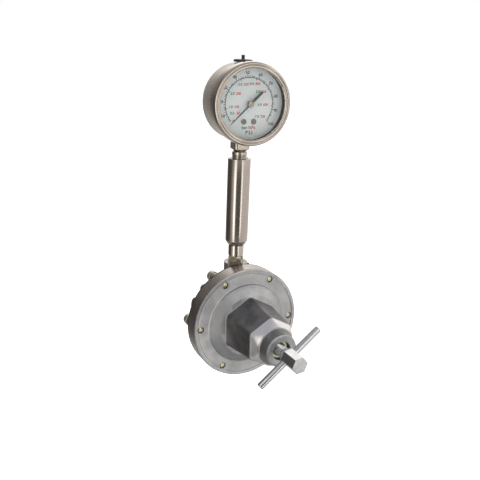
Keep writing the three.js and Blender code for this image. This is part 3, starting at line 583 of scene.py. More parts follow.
def spring_cap_shape():
    """One skin from the flange's back over the tower and nose, into the bore and back to the chamber."""
    def hexagons(radius, place, steps):
        return [(radius + out, place + on, 6, rounding, tower_turn) for out, on, rounding in steps]

    flange = [
        (cap_chamber, cap_back), *stepped(flange_radius, cap_back, [(-0.3, 0), (0, -0.3)]),
        *stepped(flange_radius, rim_face, [(0, 0.8), (-0.25, 0.25), (-0.8, 0), (-2.6, 0), (-2.9, 0.1)]),
        *stepped(flange_radius, field_face, [(-3.1, 0.45), (-3.9, 0.45), (-4.3, 0)]),
        *stepped(plateau_radius, field_face, [(1.3, 0), (0.7, -0.12), (0.2, -0.6)]),
        *stepped(plateau_radius, plateau_face, [(0, 0.5), (-0.3, -0.05), (-1, -0.5)]),
        *stepped(tower_foot, tower_start, [(1.9, 0.9), (1.2, 0.5)]),
    ]
    tower = hexagons(tower_foot, tower_start, [
        (0.9, 0.15, 5.5), (0.55, -0.25, 5.2), (0.3, -0.9, 4.9), (0.1, -1.8, 4.6),
    ])
    tower += hexagons(tower_top, tower_front, [
        (0.3, 1.3, tower_rounding), (0, 0.3, tower_rounding), (-0.6, -0.65, tower_rounding),
    ])
    steps = 6
    shoulder, brow = tower_top - 0.6, tower_front - 0.65
    reach = nose_radius / cos(pi / 6) - shoulder
    for share in (step / steps for step in range(1, steps)):
        rounding = tower_rounding + (nose_radius - 4.8) * share**2
        tower += hexagons(shoulder, brow, [(reach * share, (nose_base - brow) * share, rounding)])
    nose = [
        *stepped(nose_radius, nose_base, [(0.05, 0), (-0.35, -0.15), (-0.7, -0.6)]),
        *stepped(nose_tip, nose_front, [(0, 1.1), (-0.25, 0.45), (-1, 0.06), (-1.5, 0)]),
        *stepped(bore_radius, nose_front, [(0.5, 0), (0.12, 0.12), (0, 0.5)]),
    ]
    inside = [
        (bore_radius, bore_floor), (spring_room, bore_floor), (spring_room, cap_back - 12),
        (cap_chamber, cap_back - 6), (cap_chamber, cap_back),
    ]
    return lofted(flange + tower + nose + inside, 240)


tip_holes = screw_pillars(screw_hole_radius, rim_face - 3, cap_back + 3)
cap_shape = combined([spring_cap_shape(), *tip_holes], "DIFFERENCE")


def cap_finish():
    """Die-cast grey, with painted shade on the tower and the nose's side and a painted highlight on the
    shoulder between them, brushed along the rim, and ringed by the tool on the flange.
    """
    material, shader, coordinates = surface("die_cast_aluminium", (0.5, 0.5, 0.5), 0.4)
    skin = cast_marks(coordinates, 75.0)
    rub = rubbed(coordinates, 0.0008)
    x, depth, z = parted(coordinates)
    length = shader.id_data.nodes.new("ShaderNodeVectorMath")
    length.operation = "LENGTH"
    feed(length, 0, joined(x, 0, z))
    radius = length.outputs["Value"]
    ring_scale, depth_scale = 1.1 / MM, 0.02 / MM
    rings = noise(joined(times(radius, ring_scale), times(depth, depth_scale), 0), 1, 3)
    brushed = streaked(coordinates, (3, 0.08, 3))

    def beyond(place, start, end):
        """0 ahead of a place on the axis and 1 behind it."""
        return spread(depth, (place + start) * MM, (place + end) * MM)

    def before(place, start, end):
        return spread(depth, (place + start) * MM, (place + end) * MM, 1, 0)

    on_rim = maths("GREATER_THAN", radius, (flange_radius - 0.1) * MM)
    inner = spread(radius, 0.0275, 0.0285, 1, 0)
    on_tower = times(inner, beyond(tower_front, -0.6, 0.6))
    on_tower = times(on_tower, before(tower_start, -1.2, -0.2))
    on_nose = times(before(nose_base, -0.6, 0.4), beyond(nose_front, 0.4, 1))
    on_shoulder = times(before(tower_front, -0.6, 0.6), beyond(nose_base, -0.2, 0.8))
    # painted shade: the tower is painted dark grey, and the nose's side three quarters as dark, where the
    # same metal only lies in shade
    painted_shade = maths("MAXIMUM", on_tower, times(on_nose, 0.75))
    skinned = blended(skin["Blotches"], (0.39, 0.405, 0.425), (0.53, 0.545, 0.565))
    ringed = blended(spread(rings, 0.3, 0.7, 0, 0.35), skinned, (0.66, 0.67, 0.68))
    tower = blended(skin["Blotches"], (0.17, 0.167, 0.172), (0.29, 0.285, 0.29))
    rim = blended(brushed, (0.34, 0.31, 0.29), (0.60, 0.56, 0.53))
    # painted highlight: the shoulder from the tower to the nose is painted near white all round
    painted_shoulder_highlight = blended(on_shoulder, ringed, (0.86, 0.86, 0.88))
    plain = blended(on_rim, blended(painted_shade, painted_shoulder_highlight, tower), rim)
    feed(shader, "Base Color", blended(times(rub, 0.7), plain, (0.8, 0.8, 0.8)))
    rough = spread(skin["Blotches"], 0, 1, 0.48, 0.38)
    feed(shader, "Roughness", maths("SUBTRACT", rough, times(on_rim, 0.16)))
    raised(shader, maths("ADD", times(skin["Pits"], 0.6), times(rings, 0.5)), 0.03)
    return material


piece(cap_shape, "cast_spring_cap", cap_finish(), ["spring_cap"], sharp=24)

# ---------- thread bush ----------
# A threaded steel bush pressed in the nose from behind; its yellow zinc face shows deep in the bore.

bush_low, bush_high = box_mm("thread_bush")


def bush_shape():
    outside = bore_radius - 0.3
    bore = 4.9
    collar = 12
    step = bush_high.y - 3.2
    return lofted([
        *stepped(bore, bush_low.y, [(0, 1.1), (0.7, 0.2), (1.1, 0)]),
        *stepped(outside, bush_low.y, [(-0.5, 0), (0, 0.4)]),
        (outside, step), (collar, step), (collar, bush_high.y), (bore, bush_high.y),
        (bore, bush_low.y + 1.1),
    ])


piece(bush_shape(), "pressed_bush", yellow_zinc, ["thread_bush"])

# ---------- adjusting screw ----------
# The T-handle's screw: a threaded shank, a turned collar and a hexagonal head cross-drilled for the bar.
# Bright zinc-plated steel.

screw_low, screw_high = box_mm("adjusting_screw")
bar_low, bar_high = box_mm("cross_bar")
bar_y = (bar_low.y + bar_high.y) / 2
hex_back = bar_y + 1.6
collar_back = hex_back + 3.8
hex_front = screw_low.y
bar_turn = atan2(bar_high.z - bar_low.z, bar_high.x - bar_low.x)


def adjusting_screw_shape():
    corner = 12.7 / sqrt(3)
    turn = radians(8.8)
    shank = 4.55
    root = shank - 0.75
    collar = 6
    pitch = 1.5875
    rings = [(0, screw_high.y), (3, screw_high.y), (3.9, screw_high.y - 1)]
    thread_top = screw_high.y - 1.4
    for step in range(int((thread_top - collar_back - 1) / pitch)):
        place = thread_top - step * pitch
        rings += [(shank, place), (shank, place - 0.3), (root, place - 0.75), (root, place - 0.95)]
    rings += [
        (shank - 0.3, collar_back + 0.6), (shank, collar_back + 0.2),
        *stepped(collar, collar_back, [(-0.5, 0), (-0.05, -0.35), (0, -0.8)]),
        *stepped(collar, hex_back, [(0, 0.1), (0.15, 0)]),
        (corner - 0.6, hex_back, 6, 0.9, turn), (corner, hex_back - 0.35, 6, 0.12, turn),
        (corner, hex_front + 0.25, 6, 0.12, turn), (corner - 0.3, hex_front + 0.04, 6, 0.3, turn),
        (corner - 0.6, hex_front, 6, 0.5, turn), (0, hex_front),
    ]
    return lofted(rings, 120)


def bar_placed(bm):
    """Something made along X about the origin, turned and moved onto the cross bar's axis."""
    return moved(bm, Matrix.Translation((0, bar_y, 0)) @ Matrix.Rotation(-bar_turn, 4, "Y"))


bar_hole = bar_placed(pillar(3.15, -15, 15, along=0, segments=64))
handle_shape = combined([adjusting_screw_shape(), bar_hole], "DIFFERENCE")
piece(handle_shape, "handle_screw", bright_zinc, ["adjusting_screw"], "handle", sharp=25)

# ---------- cross bar ----------
# A round bar pushed through the head, its ends chamfered. Drawn steel, bright zinc plate with faint
# lengthwise marks.


def cross_bar_shape():
    half = 33.5
    radius = 3
    end = [(0, half), *stepped(radius, half, [(-0.75, 0), (-0.45, -0.1), (-0.1, -0.45), (0, -0.8)])]
    return bar_placed(lofted(end + [(reach, -place) for reach, place in reversed(end)], 64, along=0))


drawn_zinc = plated_metal("drawn_zinc", (0.74, 0.77, 0.80), (0.60, 0.63, 0.67), 0.2, (1, 1, 1), 0.01)
piece(cross_bar_shape(), "t_bar", drawn_zinc, ["cross_bar"], "handle")

# ---------- gauge nipple ----------
# A short 1/4 inch pipe screwed in the body's boss, with brown-green sealant squeezed out on its thread.
# Stainless steel pipe, plain between its two threads.

nipple_low, nipple_high = box_mm("gauge_nipple")
pipe_radius = nipple_high.x
tube_bottom = stem_low.z
pipe_bore = 4.4


def pipe_thread(radius, low, high, pitch=1.41, depth=0.75):
    """The rings of a thread, crest and root in turn."""
    crest = radius - 0.08
    rings = []
    for step in range(int((high - low) / pitch)):
        place = low + step * pitch
        rings += [(radius - depth, place), (crest, place + pitch * 0.42), (crest, place + pitch * 0.58)]
    return rings


def nipple_shape():
    neck = boss_top + 6.2
    low, high = nipple_low.z, nipple_high.z
    rings = [(pipe_bore, low), (pipe_radius - 0.8, low)]
    rings += pipe_thread(pipe_radius, low + 0.6, neck - 0.4)
    rings += [*stepped(pipe_radius, neck, [(-0.5, 0), (0.1, 0.6)]), (pipe_radius + 0.1, tube_bottom - 1)]
    rings += pipe_thread(pipe_radius, tube_bottom - 0.4, high - 0.8)
    rings += [(pipe_radius - 0.8, high), (pipe_bore, high), (pipe_bore, low)]
    return moved(lofted(rings, along=2), Matrix.Translation((0, stem_y, 0)))


def sealed_pipe():
    """Stainless pipe whose lower thread is smeared with sealant."""
    material, shader, coordinates = surface("sealed_pipe", (0.6, 0.55, 0.5), 0.22)
    height = parted(coordinates)["Z"]
    lines = streaked(coordinates, (0.3, 0.3, 4))
    patches = cast_marks(coordinates, 260.0)
    top = (boss_top + 5.6) * MM
    ragged = maths("ADD", height, times(patches["Blotches"], -0.0022))
    smear = spread(ragged, top - 0.0018, top - 0.001, 1, 0)
    smear = times(smear, spread(patches["Blotches"], 0.1, 0.75, 0.1, 1))
    steel = blended(lines, (0.50, 0.45, 0.40), (0.68, 0.63, 0.58))
    paste = blended(patches["Pits"], (0.09, 0.06, 0.03), (0.21, 0.16, 0.09))
    feed(shader, "Base Color", blended(smear, steel, paste))
    feed(shader, "Metallic", maths("SUBTRACT", 1, times(smear, 0.85)))
    feed(shader, "Roughness", maths("ADD", 0.2, times(smear, 0.25)))
    raised(shader, times(patches["Pits"], smear), 0.12)
    return material


piece(nipple_shape(), "pipe_nipple", sealed_pipe(), ["gauge_nipple"])

# ---------- extension tube ----------
# A long round coupling, bored and tapped at both ends, chamfered below, with a sintered restrictor inside.
# Stainless bar, turned and polished, so its lines run round it.

tube_radius = stem_high.x
tube_top = stem_high.z

coupling_depth = 12.5


def tube_shape():
    bore = pipe_radius + 0.3
    waist = 4
    return moved(lofted([
        (bore, tube_bottom + coupling_depth), *stepped(bore, tube_bottom, [(0, 0.5), (0.5, 0)]),
        *stepped(tube_radius, tube_bottom, [(-2.3, 0), (-2.05, 0.15), (-0.15, 3.4), (0, 3.8)]),
        *stepped(tube_radius, tube_top, [(0, -0.7), (-0.2, -0.25), (-0.6, 0)]),
        *stepped(bore, tube_top, [(0.7, 0), (0, -0.6), (0, -coupling_depth)]),
        (waist, tube_top - coupling_depth), (waist, tube_bottom + coupling_depth),
        (bore, tube_bottom + coupling_depth),
    ], 128, along=2), Matrix.Translation((0, stem_y, 0)))


def polished_steel(name, light, dark, roughness, stretch, depth, turn=0.0):
    """Stainless steel, warm in tone, with the fine lines of its polishing."""
    material, shader, coordinates = surface(name, light, roughness)
    mapping = shader.id_data.nodes.new("ShaderNodeMapping")
    feed(mapping, "Rotation", (0, 0, turn))
    feed(mapping, "Vector", coordinates)
    lines = streaked(mapping.outputs[0], stretch, 5)
    cloud = noise(coordinates, 60, 2)
    tone = times(lines, spread(cloud, 0.3, 0.7, 0.75, 1))
    feed(shader, "Base Color", blended(spread(tone, 0.2, 0.65), dark, light))
    feed(shader, "Roughness", spread(lines, 0.3, 0.7, roughness * 0.8, roughness * 1.3))
    raised(shader, lines, depth)
    return material


tube_steel = polished_steel(
    "polished_tube", (0.58, 0.53, 0.485), (0.48, 0.435, 0.395), 0.15, (0.1, 0.1, 5), 0.004,
)
piece(tube_shape(), "coupling_tube", tube_steel, ["extension_tube"])


def sintered_bronze():
    material, shader, coordinates = surface("sintered_bronze", (0.4, 0.28, 0.13), 0.6)
    skin = cast_marks(coordinates, 400.0)
    feed(shader, "Base Color", blended(skin["Pits"], (0.22, 0.14, 0.06), (0.5, 0.36, 0.18)))
    raised(shader, skin["Pits"], 0.1)
    return material


bronze_finish = sintered_bronze()
finish_node("restrictor_disc", bronze_finish)

# ---------- gauge socket ----------
# The gauge's pressure connection: a pipe thread, a square shank with turned corners and a neck sealed to
# the case. Forged and turned steel-coloured metal; its inner block carries the Bourdon tube.

gauge_joint = next(joint for joint in frame["joints"] if joint["name"] == "pointer_turn")
gauge_centre = Vector(gauge_joint["pos_m"]) / MM
gauge_axis = Vector(gauge_joint["axis"])
gauge_turn = -atan2(gauge_axis.x, gauge_axis.y)
gauge_place = Matrix.Translation(gauge_centre) @ Matrix.Rotation(gauge_turn, 4, "Z")
socket_low, socket_high = box_mm("gauge_socket")


def ahead(rings):
    """Rings given by their distance ahead of the tube's axis, on the gauge's own axis."""
    return [(ring[0], -ring[1], *ring[2:]) for ring in rings]


def on_gauge(bm):
    return moved(bm, gauge_place)


flats_low = tube_top + 8.3
flats_high = flats_low + 5.7
shank_width = 14
neck_radius = 6.2
neck_top = -29.6


def socket_shape():
    """The shank below the case; the case hides what stands on it."""
    corner = shank_width / 2 * sqrt(2)
    turned = [
        (0, socket_low.z), (pipe_radius - 0.8, socket_low.z),
        *pipe_thread(pipe_radius, socket_low.z + 0.5, tube_top + 5),
        (pipe_radius - 0.5, tube_top + 5.6), (pipe_radius - 0.2, flats_low - 2.5),
    ]
    shank = [
        (corner - 2.6, flats_low - 2.4, 6.5), (corner - 0.6, flats_low - 0.4, 3.2), (corner, flats_low, 2.6),
        (corner, flats_high - 0.4, 2.6), (corner - 0.5, flats_high, 3),
    ]
    rings = [(radius, place - gauge_centre.z) for radius, place in turned]
    rings += [(radius, place - gauge_centre.z, 4, rounding, pi / 4) for radius, place, rounding in shank]
    rings += [(neck_radius, flats_high - gauge_centre.z), (neck_radius, neck_top), (0, neck_top)]
    return on_gauge(lofted(rings, FINE, along=2))


socket_metal = polished_steel(
    "turned_socket", (0.66, 0.61, 0.55), (0.48, 0.44, 0.39), 0.24, (0.4, 0.4, 3), 0.01,
)
carrier_size = (12, 10.5, 15.8)
carrier_centre = (0, 2.15, -22.9)    # the block that holds the Bourdon tube and the movement
socket_carrier = on_gauge(softened(box_shape(carrier_size, carrier_centre), 0.6))
socket_whole = combined([socket_shape(), socket_carrier], "UNION")
piece(socket_whole, "pressure_socket", socket_metal, ["gauge_socket"])
finish_node("socket_seal", black_rubber)

# ---------- gauge case ----------
# A deep drawn cup of stainless steel, brushed round its side, with a black filling plug on top.

case_radius = 32.6
case_back = -9.3
dial_face = 15.4
bezel_front = 25.87
bezel_radius = 34.25
bezel_back = bezel_front - 10.3

case_wall = 1.2
case_front = 19
dish = 13


def case_shape():
    inside = case_radius - case_wall
    rings = [
        (0, case_back + 0.5), (dish - 1, case_back + 0.5), (dish, case_back),
        *stepped(case_radius, case_back, [(-2.6, 0), (-1.3, 0.35), (-0.35, 1.3), (0, 2.6)]),
        (case_radius, case_front), (inside, case_front), (inside, case_back + 2.4),
        (case_radius - 2.6, case_back + case_wall), (dish, case_back + case_wall),
        (0, case_back + case_wall + 0.4),
    ]
    cup = lofted(ahead(rings), 240)
    socket_hole = pillar(6.5, -case_radius - 4, -case_radius + 8, along=2)
    plug_hole = pillar(3.1, case_radius - 6, case_radius + 4, along=2)
    return on_gauge(combined([cup, socket_hole, plug_hole], "DIFFERENCE"))


case_steel = polished_steel(
    "brushed_case", (0.62, 0.57, 0.53), (0.44, 0.39, 0.36), 0.26, (0.06, 5, 0.06), 0.008, turn=-gauge_turn,
)
piece(case_shape(), "drawn_case", case_steel, ["gauge_case"])


def vent_plug_shape():
    seat = case_radius + 0.3
    top = seat + 2.1
    foot = case_radius - 3.2
    stem, disc, peg = 2.8, 8, 1.4
    return on_gauge(lofted([
        (0, foot), (stem - 0.2, foot), (stem, case_radius - 2.9), (stem, seat),
        (disc - 0.4, seat), (disc, seat + 0.4), *stepped(disc, top, [(0, -0.9), (-0.4, -0.3), (-1.1, 0)]),
        *stepped(peg, top, [(0.6, 0), (0.15, 0.25), (0, 0.7), (0, 3.1), (-0.25, 3.5), (-0.6, 3.6)]),
        (0, top + 3.6),
    ], 64, along=2))


piece(vent_plug_shape(), "fill_plug", black_rubber, ["vent_plug"])

# ---------- gauge movement ----------
# The Bourdon tube bends as it fills; its tip pulls a link on a toothed sector that turns the pointer's
# arbor. Plain brass and spring bronze behind the dial, so the CAD's own shapes stay.

plain_brass = plated_metal("plain_brass", (0.72, 0.55, 0.25), (0.55, 0.40, 0.17), 0.3, (0.3, 4, 0.3), 0.008)
movement_nodes = ["movement_back_plate", "movement_front_plate", "bourdon_tube", "bourdon_tip", "tip_link"]
movement_nodes += ["sector_gear", "pointer_arbor", *(f"movement_pillar_{number}" for number in (1, 2, 3))]
for node in movement_nodes:
    finish_node(node, plain_brass)
finish_node("hairspring", bronze_finish)

# ---------- dial ----------
# A white-enamelled disc, printed with a 0-100 psi scale in grey and bar and kPa values in green and red.


def enamel(name, color, speck, roughness):
    """Matte enamel or printing ink with a very slight mottle."""
    material, shader, coordinates = surface(name, color, roughness, 0)
    skin = cast_marks(coordinates, 300.0)
    feed(shader, "Base Color", blended(skin["Blotches"], speck, color))
    feed(shader, "Roughness", spread(skin["Pits"], 0, 1, roughness + 0.05, roughness - 0.05))
    raised(shader, skin["Pits"], 0.004)
    return material


dial_radius = 30.6
dial_hole = 1.5
dial_screw_x = 4.5
dial_screw_z = -14.6


def dial_shape():
    back = dial_face - 0.8
    disc = lofted(ahead([
        (dial_hole, back), (dial_radius, back), (dial_radius, dial_face), (dial_hole, dial_face),
        (dial_hole, back),
    ]), FINE)
    holes = [
        pillar(1.2, -dial_face - 1, 1 - back, at=(x, 0, dial_screw_z), segments=24)
        for x in (-dial_screw_x, dial_screw_x)
    ]
    return on_gauge(combined([disc, *holes], "DIFFERENCE"))


white_enamel = enamel("white_enamel", (0.97, 0.985, 0.98), (0.93, 0.955, 0.955), 0.4)
piece(dial_shape(), "enamelled_dial", white_enamel, ["gauge_dial"])

# Printing on the dial: thin films of ink a hair above the enamel.

ink_thickness = 0.03
ink_face = dial_face + 0.02
ink_middle = -ink_face - ink_thickness / 2
scale_radius = 21.3
scale_half_width = 0.28
psi_per_bar = 14.5038
figure_height = 2.5
unit_height = 2.7
pair_height = 2.15


def scale_angle(psi):
    return radians(230.5 - 2.7 * psi)


def polar(radius, angle):
    return radius * cos(angle), radius * sin(angle)


def tick(inner, outer, width, angle):
    """A radial line of ink."""
    bm = box_shape((outer - inner, ink_thickness, width), ((inner + outer) / 2, ink_middle, 0))
    return moved(bm, Matrix.Rotation(-angle, 4, "Y"))


def scale_arc(first, last):
    """The long curved line that the ticks stand on."""
    bm = bmesh.new()
    inner, outer = scale_radius - scale_half_width, scale_radius + scale_half_width
    section = [(inner, 0), (outer, 0), (outer, 1), (inner, 1)]
    corners = [bm.verts.new((radius, -ink_face - level * ink_thickness, 0)) for radius, level in section]
    start = bm.faces.new(corners)
    bmesh.ops.rotate(bm, matrix=Matrix.Rotation(-scale_angle(last), 3, "Y"), verts=bm.verts)
    bmesh.ops.spin(
        bm, geom=[start, *start.edges, *start.verts], cent=(0, 0, 0), axis=(0, 1, 0),
        angle=scale_angle(last) - scale_angle(first), steps=120, use_merge=False, use_duplicate=False,
    )
    return tidy(bm)


def lettering(text, height, x, z, spacing=1.0):
    """Generic figures or a unit, as a film of ink on the dial."""
    curve = bpy.data.curves.new("lettering", "FONT")
    curve.body = text
    curve.size = height * 1.4
    curve.space_character = spacing
    curve.align_x = "CENTER"
    curve.align_y = "CENTER"
    curve.resolution_u = 3
    curve.extrude = ink_thickness / 2
    curve.offset = height * 0.035
    thing = bpy.data.objects.new("lettering", curve)
    bpy.context.scene.collection.objects.link(thing)
    bm = bmesh.new()
    mesh = bpy.data.meshes.new_from_object(thing.evaluated_get(bpy.context.evaluated_depsgraph_get()))
    bm.from_mesh(mesh)
    bpy.data.objects.remove(thing)
    place = Matrix.Translation((x, ink_middle, z)) @ Matrix.Rotation(pi / 2, 4, "X")
    return moved(bm, place)


def gathered(parts):
    """Several shapes as one."""
    whole = bmesh.new()
    for part in parts:
        mesh = bpy.data.meshes.new("part")
        part.to_mesh(mesh)
        part.free()
        whole.from_mesh(mesh)
        bpy.data.meshes.remove(mesh)
    bmesh.ops.remove_doubles(whole, verts=whole.verts, dist=0.001)
    return whole


def psi_printing():
    marks = [scale_arc(3, 100)]
    for psi in range(4, 101, 2):
        length, width = (2.2, 0.55) if psi % 10 == 0 else (1.5, 0.42)
        marks.append(tick(scale_radius, scale_radius + length, width, scale_angle(psi)))
    for psi in range(5, 100, 10):
        marks.append(tick(scale_radius, scale_radius + 1.5, 0.36, scale_angle(psi)))
    for half_bar in range(1, 14):
        length, width = (1.5, 0.5) if half_bar % 2 == 0 else (0.8, 0.3)
        angle = scale_angle(half_bar / 2 * psi_per_bar)
        marks.append(tick(scale_radius - length, scale_radius, width, angle))
    zero = radians(226)
    zero_x, zero_z = polar(19.4, zero)
    marks.append(tick(18.2, 20.6, 0.4, zero))
    marks.append(moved(tick(-1.1, 1.1, 0.4, radians(136)), Matrix.Translation((zero_x, 0, zero_z))))
    for psi in range(10, 101, 10):
        reach = 25.1 if psi < 100 else 26.3
        marks.append(lettering(str(psi), figure_height, *polar(reach, scale_angle(psi))))
    marks.append(lettering("PSI", 3.1, 0.8, -23.8, 1.3))
    marks.append(lettering("/", 2.3, 0, -19.6))
    return marks


pair_nudge = {4: 1.5, 7: 1.5}    # sideways, clear of what stands beside them


def pair_printing(unit, unit_place, aside, written):
    """A unit's name, and its figures at one side of each pair."""
    marks = [lettering(unit, unit_height, *unit_place)]
    for bar in (0.5, 1, 2, 3, 4, 5, 6, 7):
        angle = scale_angle(bar * psi_per_bar)
        x = 13.2 * cos(angle) - 0.6 + pair_nudge.get(bar, 0)
        marks.append(lettering(written(bar), pair_height, x + aside, 16.2 * sin(angle) + 0.6))
    return marks


def bar_printing():
    return pair_printing("bar", (-3.5, -19.6), -2.9, lambda bar: f"{bar:.1f}")


def kpa_printing():
    return pair_printing("kPa", (3.7, -19.5), 2.4, lambda bar: f"{bar * 100:.0f}")


grey_ink = enamel("grey_ink", (0.02, 0.022, 0.026), (0.035, 0.038, 0.042), 0.5)
green_ink = enamel("green_ink", (0.01, 0.20, 0.07), (0.02, 0.24, 0.10), 0.5)
red_ink = enamel("red_ink", (0.72, 0.03, 0.04), (0.78, 0.05, 0.06), 0.5)
for name, marks, ink in (
    ("dial_print_psi", psi_printing(), grey_ink),
    ("dial_print_bar", bar_printing(), green_ink),
    ("dial_print_kpa", kpa_printing(), red_ink),
):
    piece(on_gauge(gathered(marks)), name, ink)

# ---------- dial screws ----------
# Two small slotted screws hold the dial on the movement. Turned nickel-plated brass.

nickel = plated_metal("nickel", (0.26, 0.225, 0.17), (0.13, 0.11, 0.08), 0.25, (0.3, 0.3, 3), 0.01, 500)


def dial_screw(node, x):
    seat = dial_face + 0.3
    head = 2.3
    shank = 0.9
    rings = [(0, seat - 3.6), (shank, seat - 3.6), (shank, seat)]
    rings += stepped(head, seat, [(-0.15, 0), (0, 0.15), (0, 0.75), (-0.25, 1.1), (-0.75, 1.3)])
    slot = box_shape((6, 1.5, 0.55), (0, -seat - 1.45, 0))
    bmesh.ops.rotate(slot, matrix=Matrix.Rotation(radians(35), 3, "Y"), verts=slot.verts)
    screw = combined([lofted(ahead([*rings, (0, seat + 1.4)]), 48), slot], "DIFFERENCE")
    place = Matrix.Translation((x, 0, dial_screw_z))
    piece(on_gauge(moved(screw, place)), "slotted_" + node, nickel, [node])


dial_screw("dial_screw_1", -dial_screw_x)
dial_screw("dial_screw_2", dial_screw_x)

# ---------- pointer ----------
# A black pointer with a thin blade and a broad tail, pressed on the arbor under a turned brass cap.

pointer_face = 19
pointer_rest = radians(224.3)
blade_thickness = 0.6


def pointer_blade():
    outline = [
        (-14.3, -0.75), (-13.9, -1.1), (-2.4, -1.05), (2.4, -0.75), (21.5, -0.28), (24.5, 0),
        (21.5, 0.28), (2.4, 0.75), (-2.4, 1.05), (-14.3, 1.1),
    ]
    bm = bmesh.new()
    face = bm.faces.new([bm.verts.new((x, -pointer_face, z)) for x, z in outline])
    raised_face = bmesh.ops.extrude_face_region(bm, geom=[face])["geom"]
    fresh = [part for part in raised_face if isinstance(part, bmesh.types.BMVert)]
    bmesh.ops.translate(bm, vec=Vector((0, blade_thickness, 0)), verts=fresh)
    bmesh.ops.recalc_face_normals(bm, faces=bm.faces)
    return on_gauge(moved(bm, Matrix.Rotation(-pointer_rest, 4, "Y")))


def pointer_hub():
    bore = 1
    rim = stepped(2.8, pointer_face, [(-0.4, -1.5), (0, -1.1), (0, 0.55), (-0.2, 0.85), (-0.6, 1)])
    foot = (bore, pointer_face - 1.5)
    return on_gauge(lofted(ahead([foot, *rim, (bore, pointer_face + 1), foot]), 64))


def arbor_cap():
    return on_gauge(lofted(ahead(stepped(0, pointer_face, [
        (0, 1), (2.65, 1), (2.65, 1.2), (2.3, 1.55), (1.5, 1.6), (1.3, 1.25), (0.75, 1.25), (0.6, 1.55),
        (0, 1.6),
    ])), 64))


pointer_black = enamel("pointer_black", (0.012, 0.013, 0.015), (0.025, 0.026, 0.028), 0.4)
blade_and_hub = combined([pointer_blade(), pointer_hub()], "UNION")
cap_brass = plated_metal("cap_brass", (0.48, 0.42, 0.33), (0.30, 0.26, 0.20), 0.28, (0.3, 0.3, 3), 0.01, 500)
piece(blade_and_hub, "pointer_hand", pointer_black, ["gauge_pointer"], "pointer")
piece(arbor_cap(), "pointer_cap", cap_brass, body="pointer")

# ---------- window and its gasket ----------
# A flat disc of clear laminated glass on a black rubber gasket that also lines the case ahead of the dial.

window_back = 20.77
window_front = window_back + 2.4
window_radius = 32.3
gasket_inner = 29.9
gasket_lining = 31.1
gasket_outer = 32.6
gasket_step = 19.35
gasket_front = 20.6


def clear_glass():
    """Clear glass with a barely visible waviness."""
    material, shader, coordinates = surface("clear_glass", (0.96, 0.985, 0.98), 0.0, 0)
    feed(shader, "Transmission Weight", 1)
    feed(shader, "IOR", 1.47)
    raised(shader, noise(coordinates, 40, 1), 0.002)
    return material


window = lofted(ahead([
    (0, window_back), (window_radius, window_back), (window_radius, window_front), (0, window_front),
]), FINE)
piece(on_gauge(window), "glass_window", clear_glass(), ["gauge_window"])

gasket_back = dial_face + 0.35
gasket = lofted(ahead([
    (gasket_inner, gasket_back), (gasket_lining, gasket_back), (gasket_lining, gasket_step),
    (gasket_outer, gasket_step), (gasket_outer, gasket_front), (gasket_inner, gasket_front),
    (gasket_inner, gasket_back),
]), FINE)
piece(on_gauge(gasket), "lining_gasket", black_rubber, ["window_gasket"])

# ---------- bezel ----------
# The clamp ring crimped over the window: a deep rim, a rounded front bead, a groove and a thin inner lip.
# Spun stainless steel, polished.

opening = 28.9
bezel_bore = bezel_radius - 1.3
bezel_rings = [
    (bezel_bore, bezel_back), *stepped(bezel_radius, bezel_back, [(-0.4, 0), (0, 0.35)]),
    *stepped(bezel_radius, bezel_front, [
        (0, -4), (-0.1, -2.6), (-0.4, -1.4), (-0.85, -0.6), (-1.35, -0.12), (-1.75, 0), (-2.2, -0.15),
        (-2.5, -0.5), (-2.65, -0.95), (-2.85, -1), (-3.1, -0.6), (-3.4, -0.3), (-4, -0.15),
    ]),
    *stepped(opening, bezel_front, [(0.8, -0.35), (0.3, -0.75), (0.02, -1.3), (0, -2)]),
    (bezel_bore, bezel_front - 2), (bezel_bore, bezel_back),
]
bezel_steel = polished_steel(
    "polished_bezel", (0.68, 0.63, 0.57), (0.56, 0.51, 0.46), 0.12, (0.05, 4, 0.05), 0.004,
)
bezel = on_gauge(lofted(ahead(bezel_rings), 256))
piece(bezel, "crimped_bezel", bezel_steel, ["gauge_bezel"], sharp=40)

# ---------- floor, light and camera ----------
# A pale floor well below the regulator, a white studio all round with dark cards between its lamps, and a
# camera ahead, to the left and a little above.

scene = bpy.context.scene
scene.view_settings.view_transform = "Standard"

floor_shape = bmesh.new()
bmesh.ops.create_grid(floor_shape, x_segments=1, y_segments=1, size=6)
bmesh.ops.translate(floor_shape, vec=Vector((0, 0, -0.3)), verts=floor_shape.verts)
floor_mesh = bpy.data.meshes.new("floor")
floor_shape.to_mesh(floor_mesh)
floor_shape.free()
floor = bpy.data.objects.new("floor", floor_mesh)
scene.collection.objects.link(floor)
floor_paint, floor_shader, floor_at = surface("floor_paint", (0.9, 0.9, 0.9), 0.9, 0)
feed(floor_shader, "Emission Color", (1, 1, 1, 1))
feed(floor_shader, "Emission Strength", 0.55)
floor_mesh.materials.append(floor_paint)
floor.visible_glossy = False

camera_place = Vector((-0.2646, -0.5413, 0.2402))
camera_azimuth = radians(-27.78)
camera_elevation = radians(16.48)
camera_roll = radians(2.26)
towards_camera = Vector((
    sin(camera_azimuth) * cos(camera_elevation),
    -cos(camera_azimuth) * cos(camera_elevation),
    sin(camera_elevation),
))
camera_data = bpy.data.cameras.new("camera")
camera_data.lens = 49.88
camera_data.sensor_width = 36
camera = bpy.data.objects.new("camera", camera_data)
scene.collection.objects.link(camera)
camera.location = camera_place
camera.rotation_mode = "QUATERNION"
camera.rotation_quaternion = (-towards_camera).to_track_quat("-Z", "Y") @ Quaternion((0, 0, 1), camera_roll)
scene.camera = camera


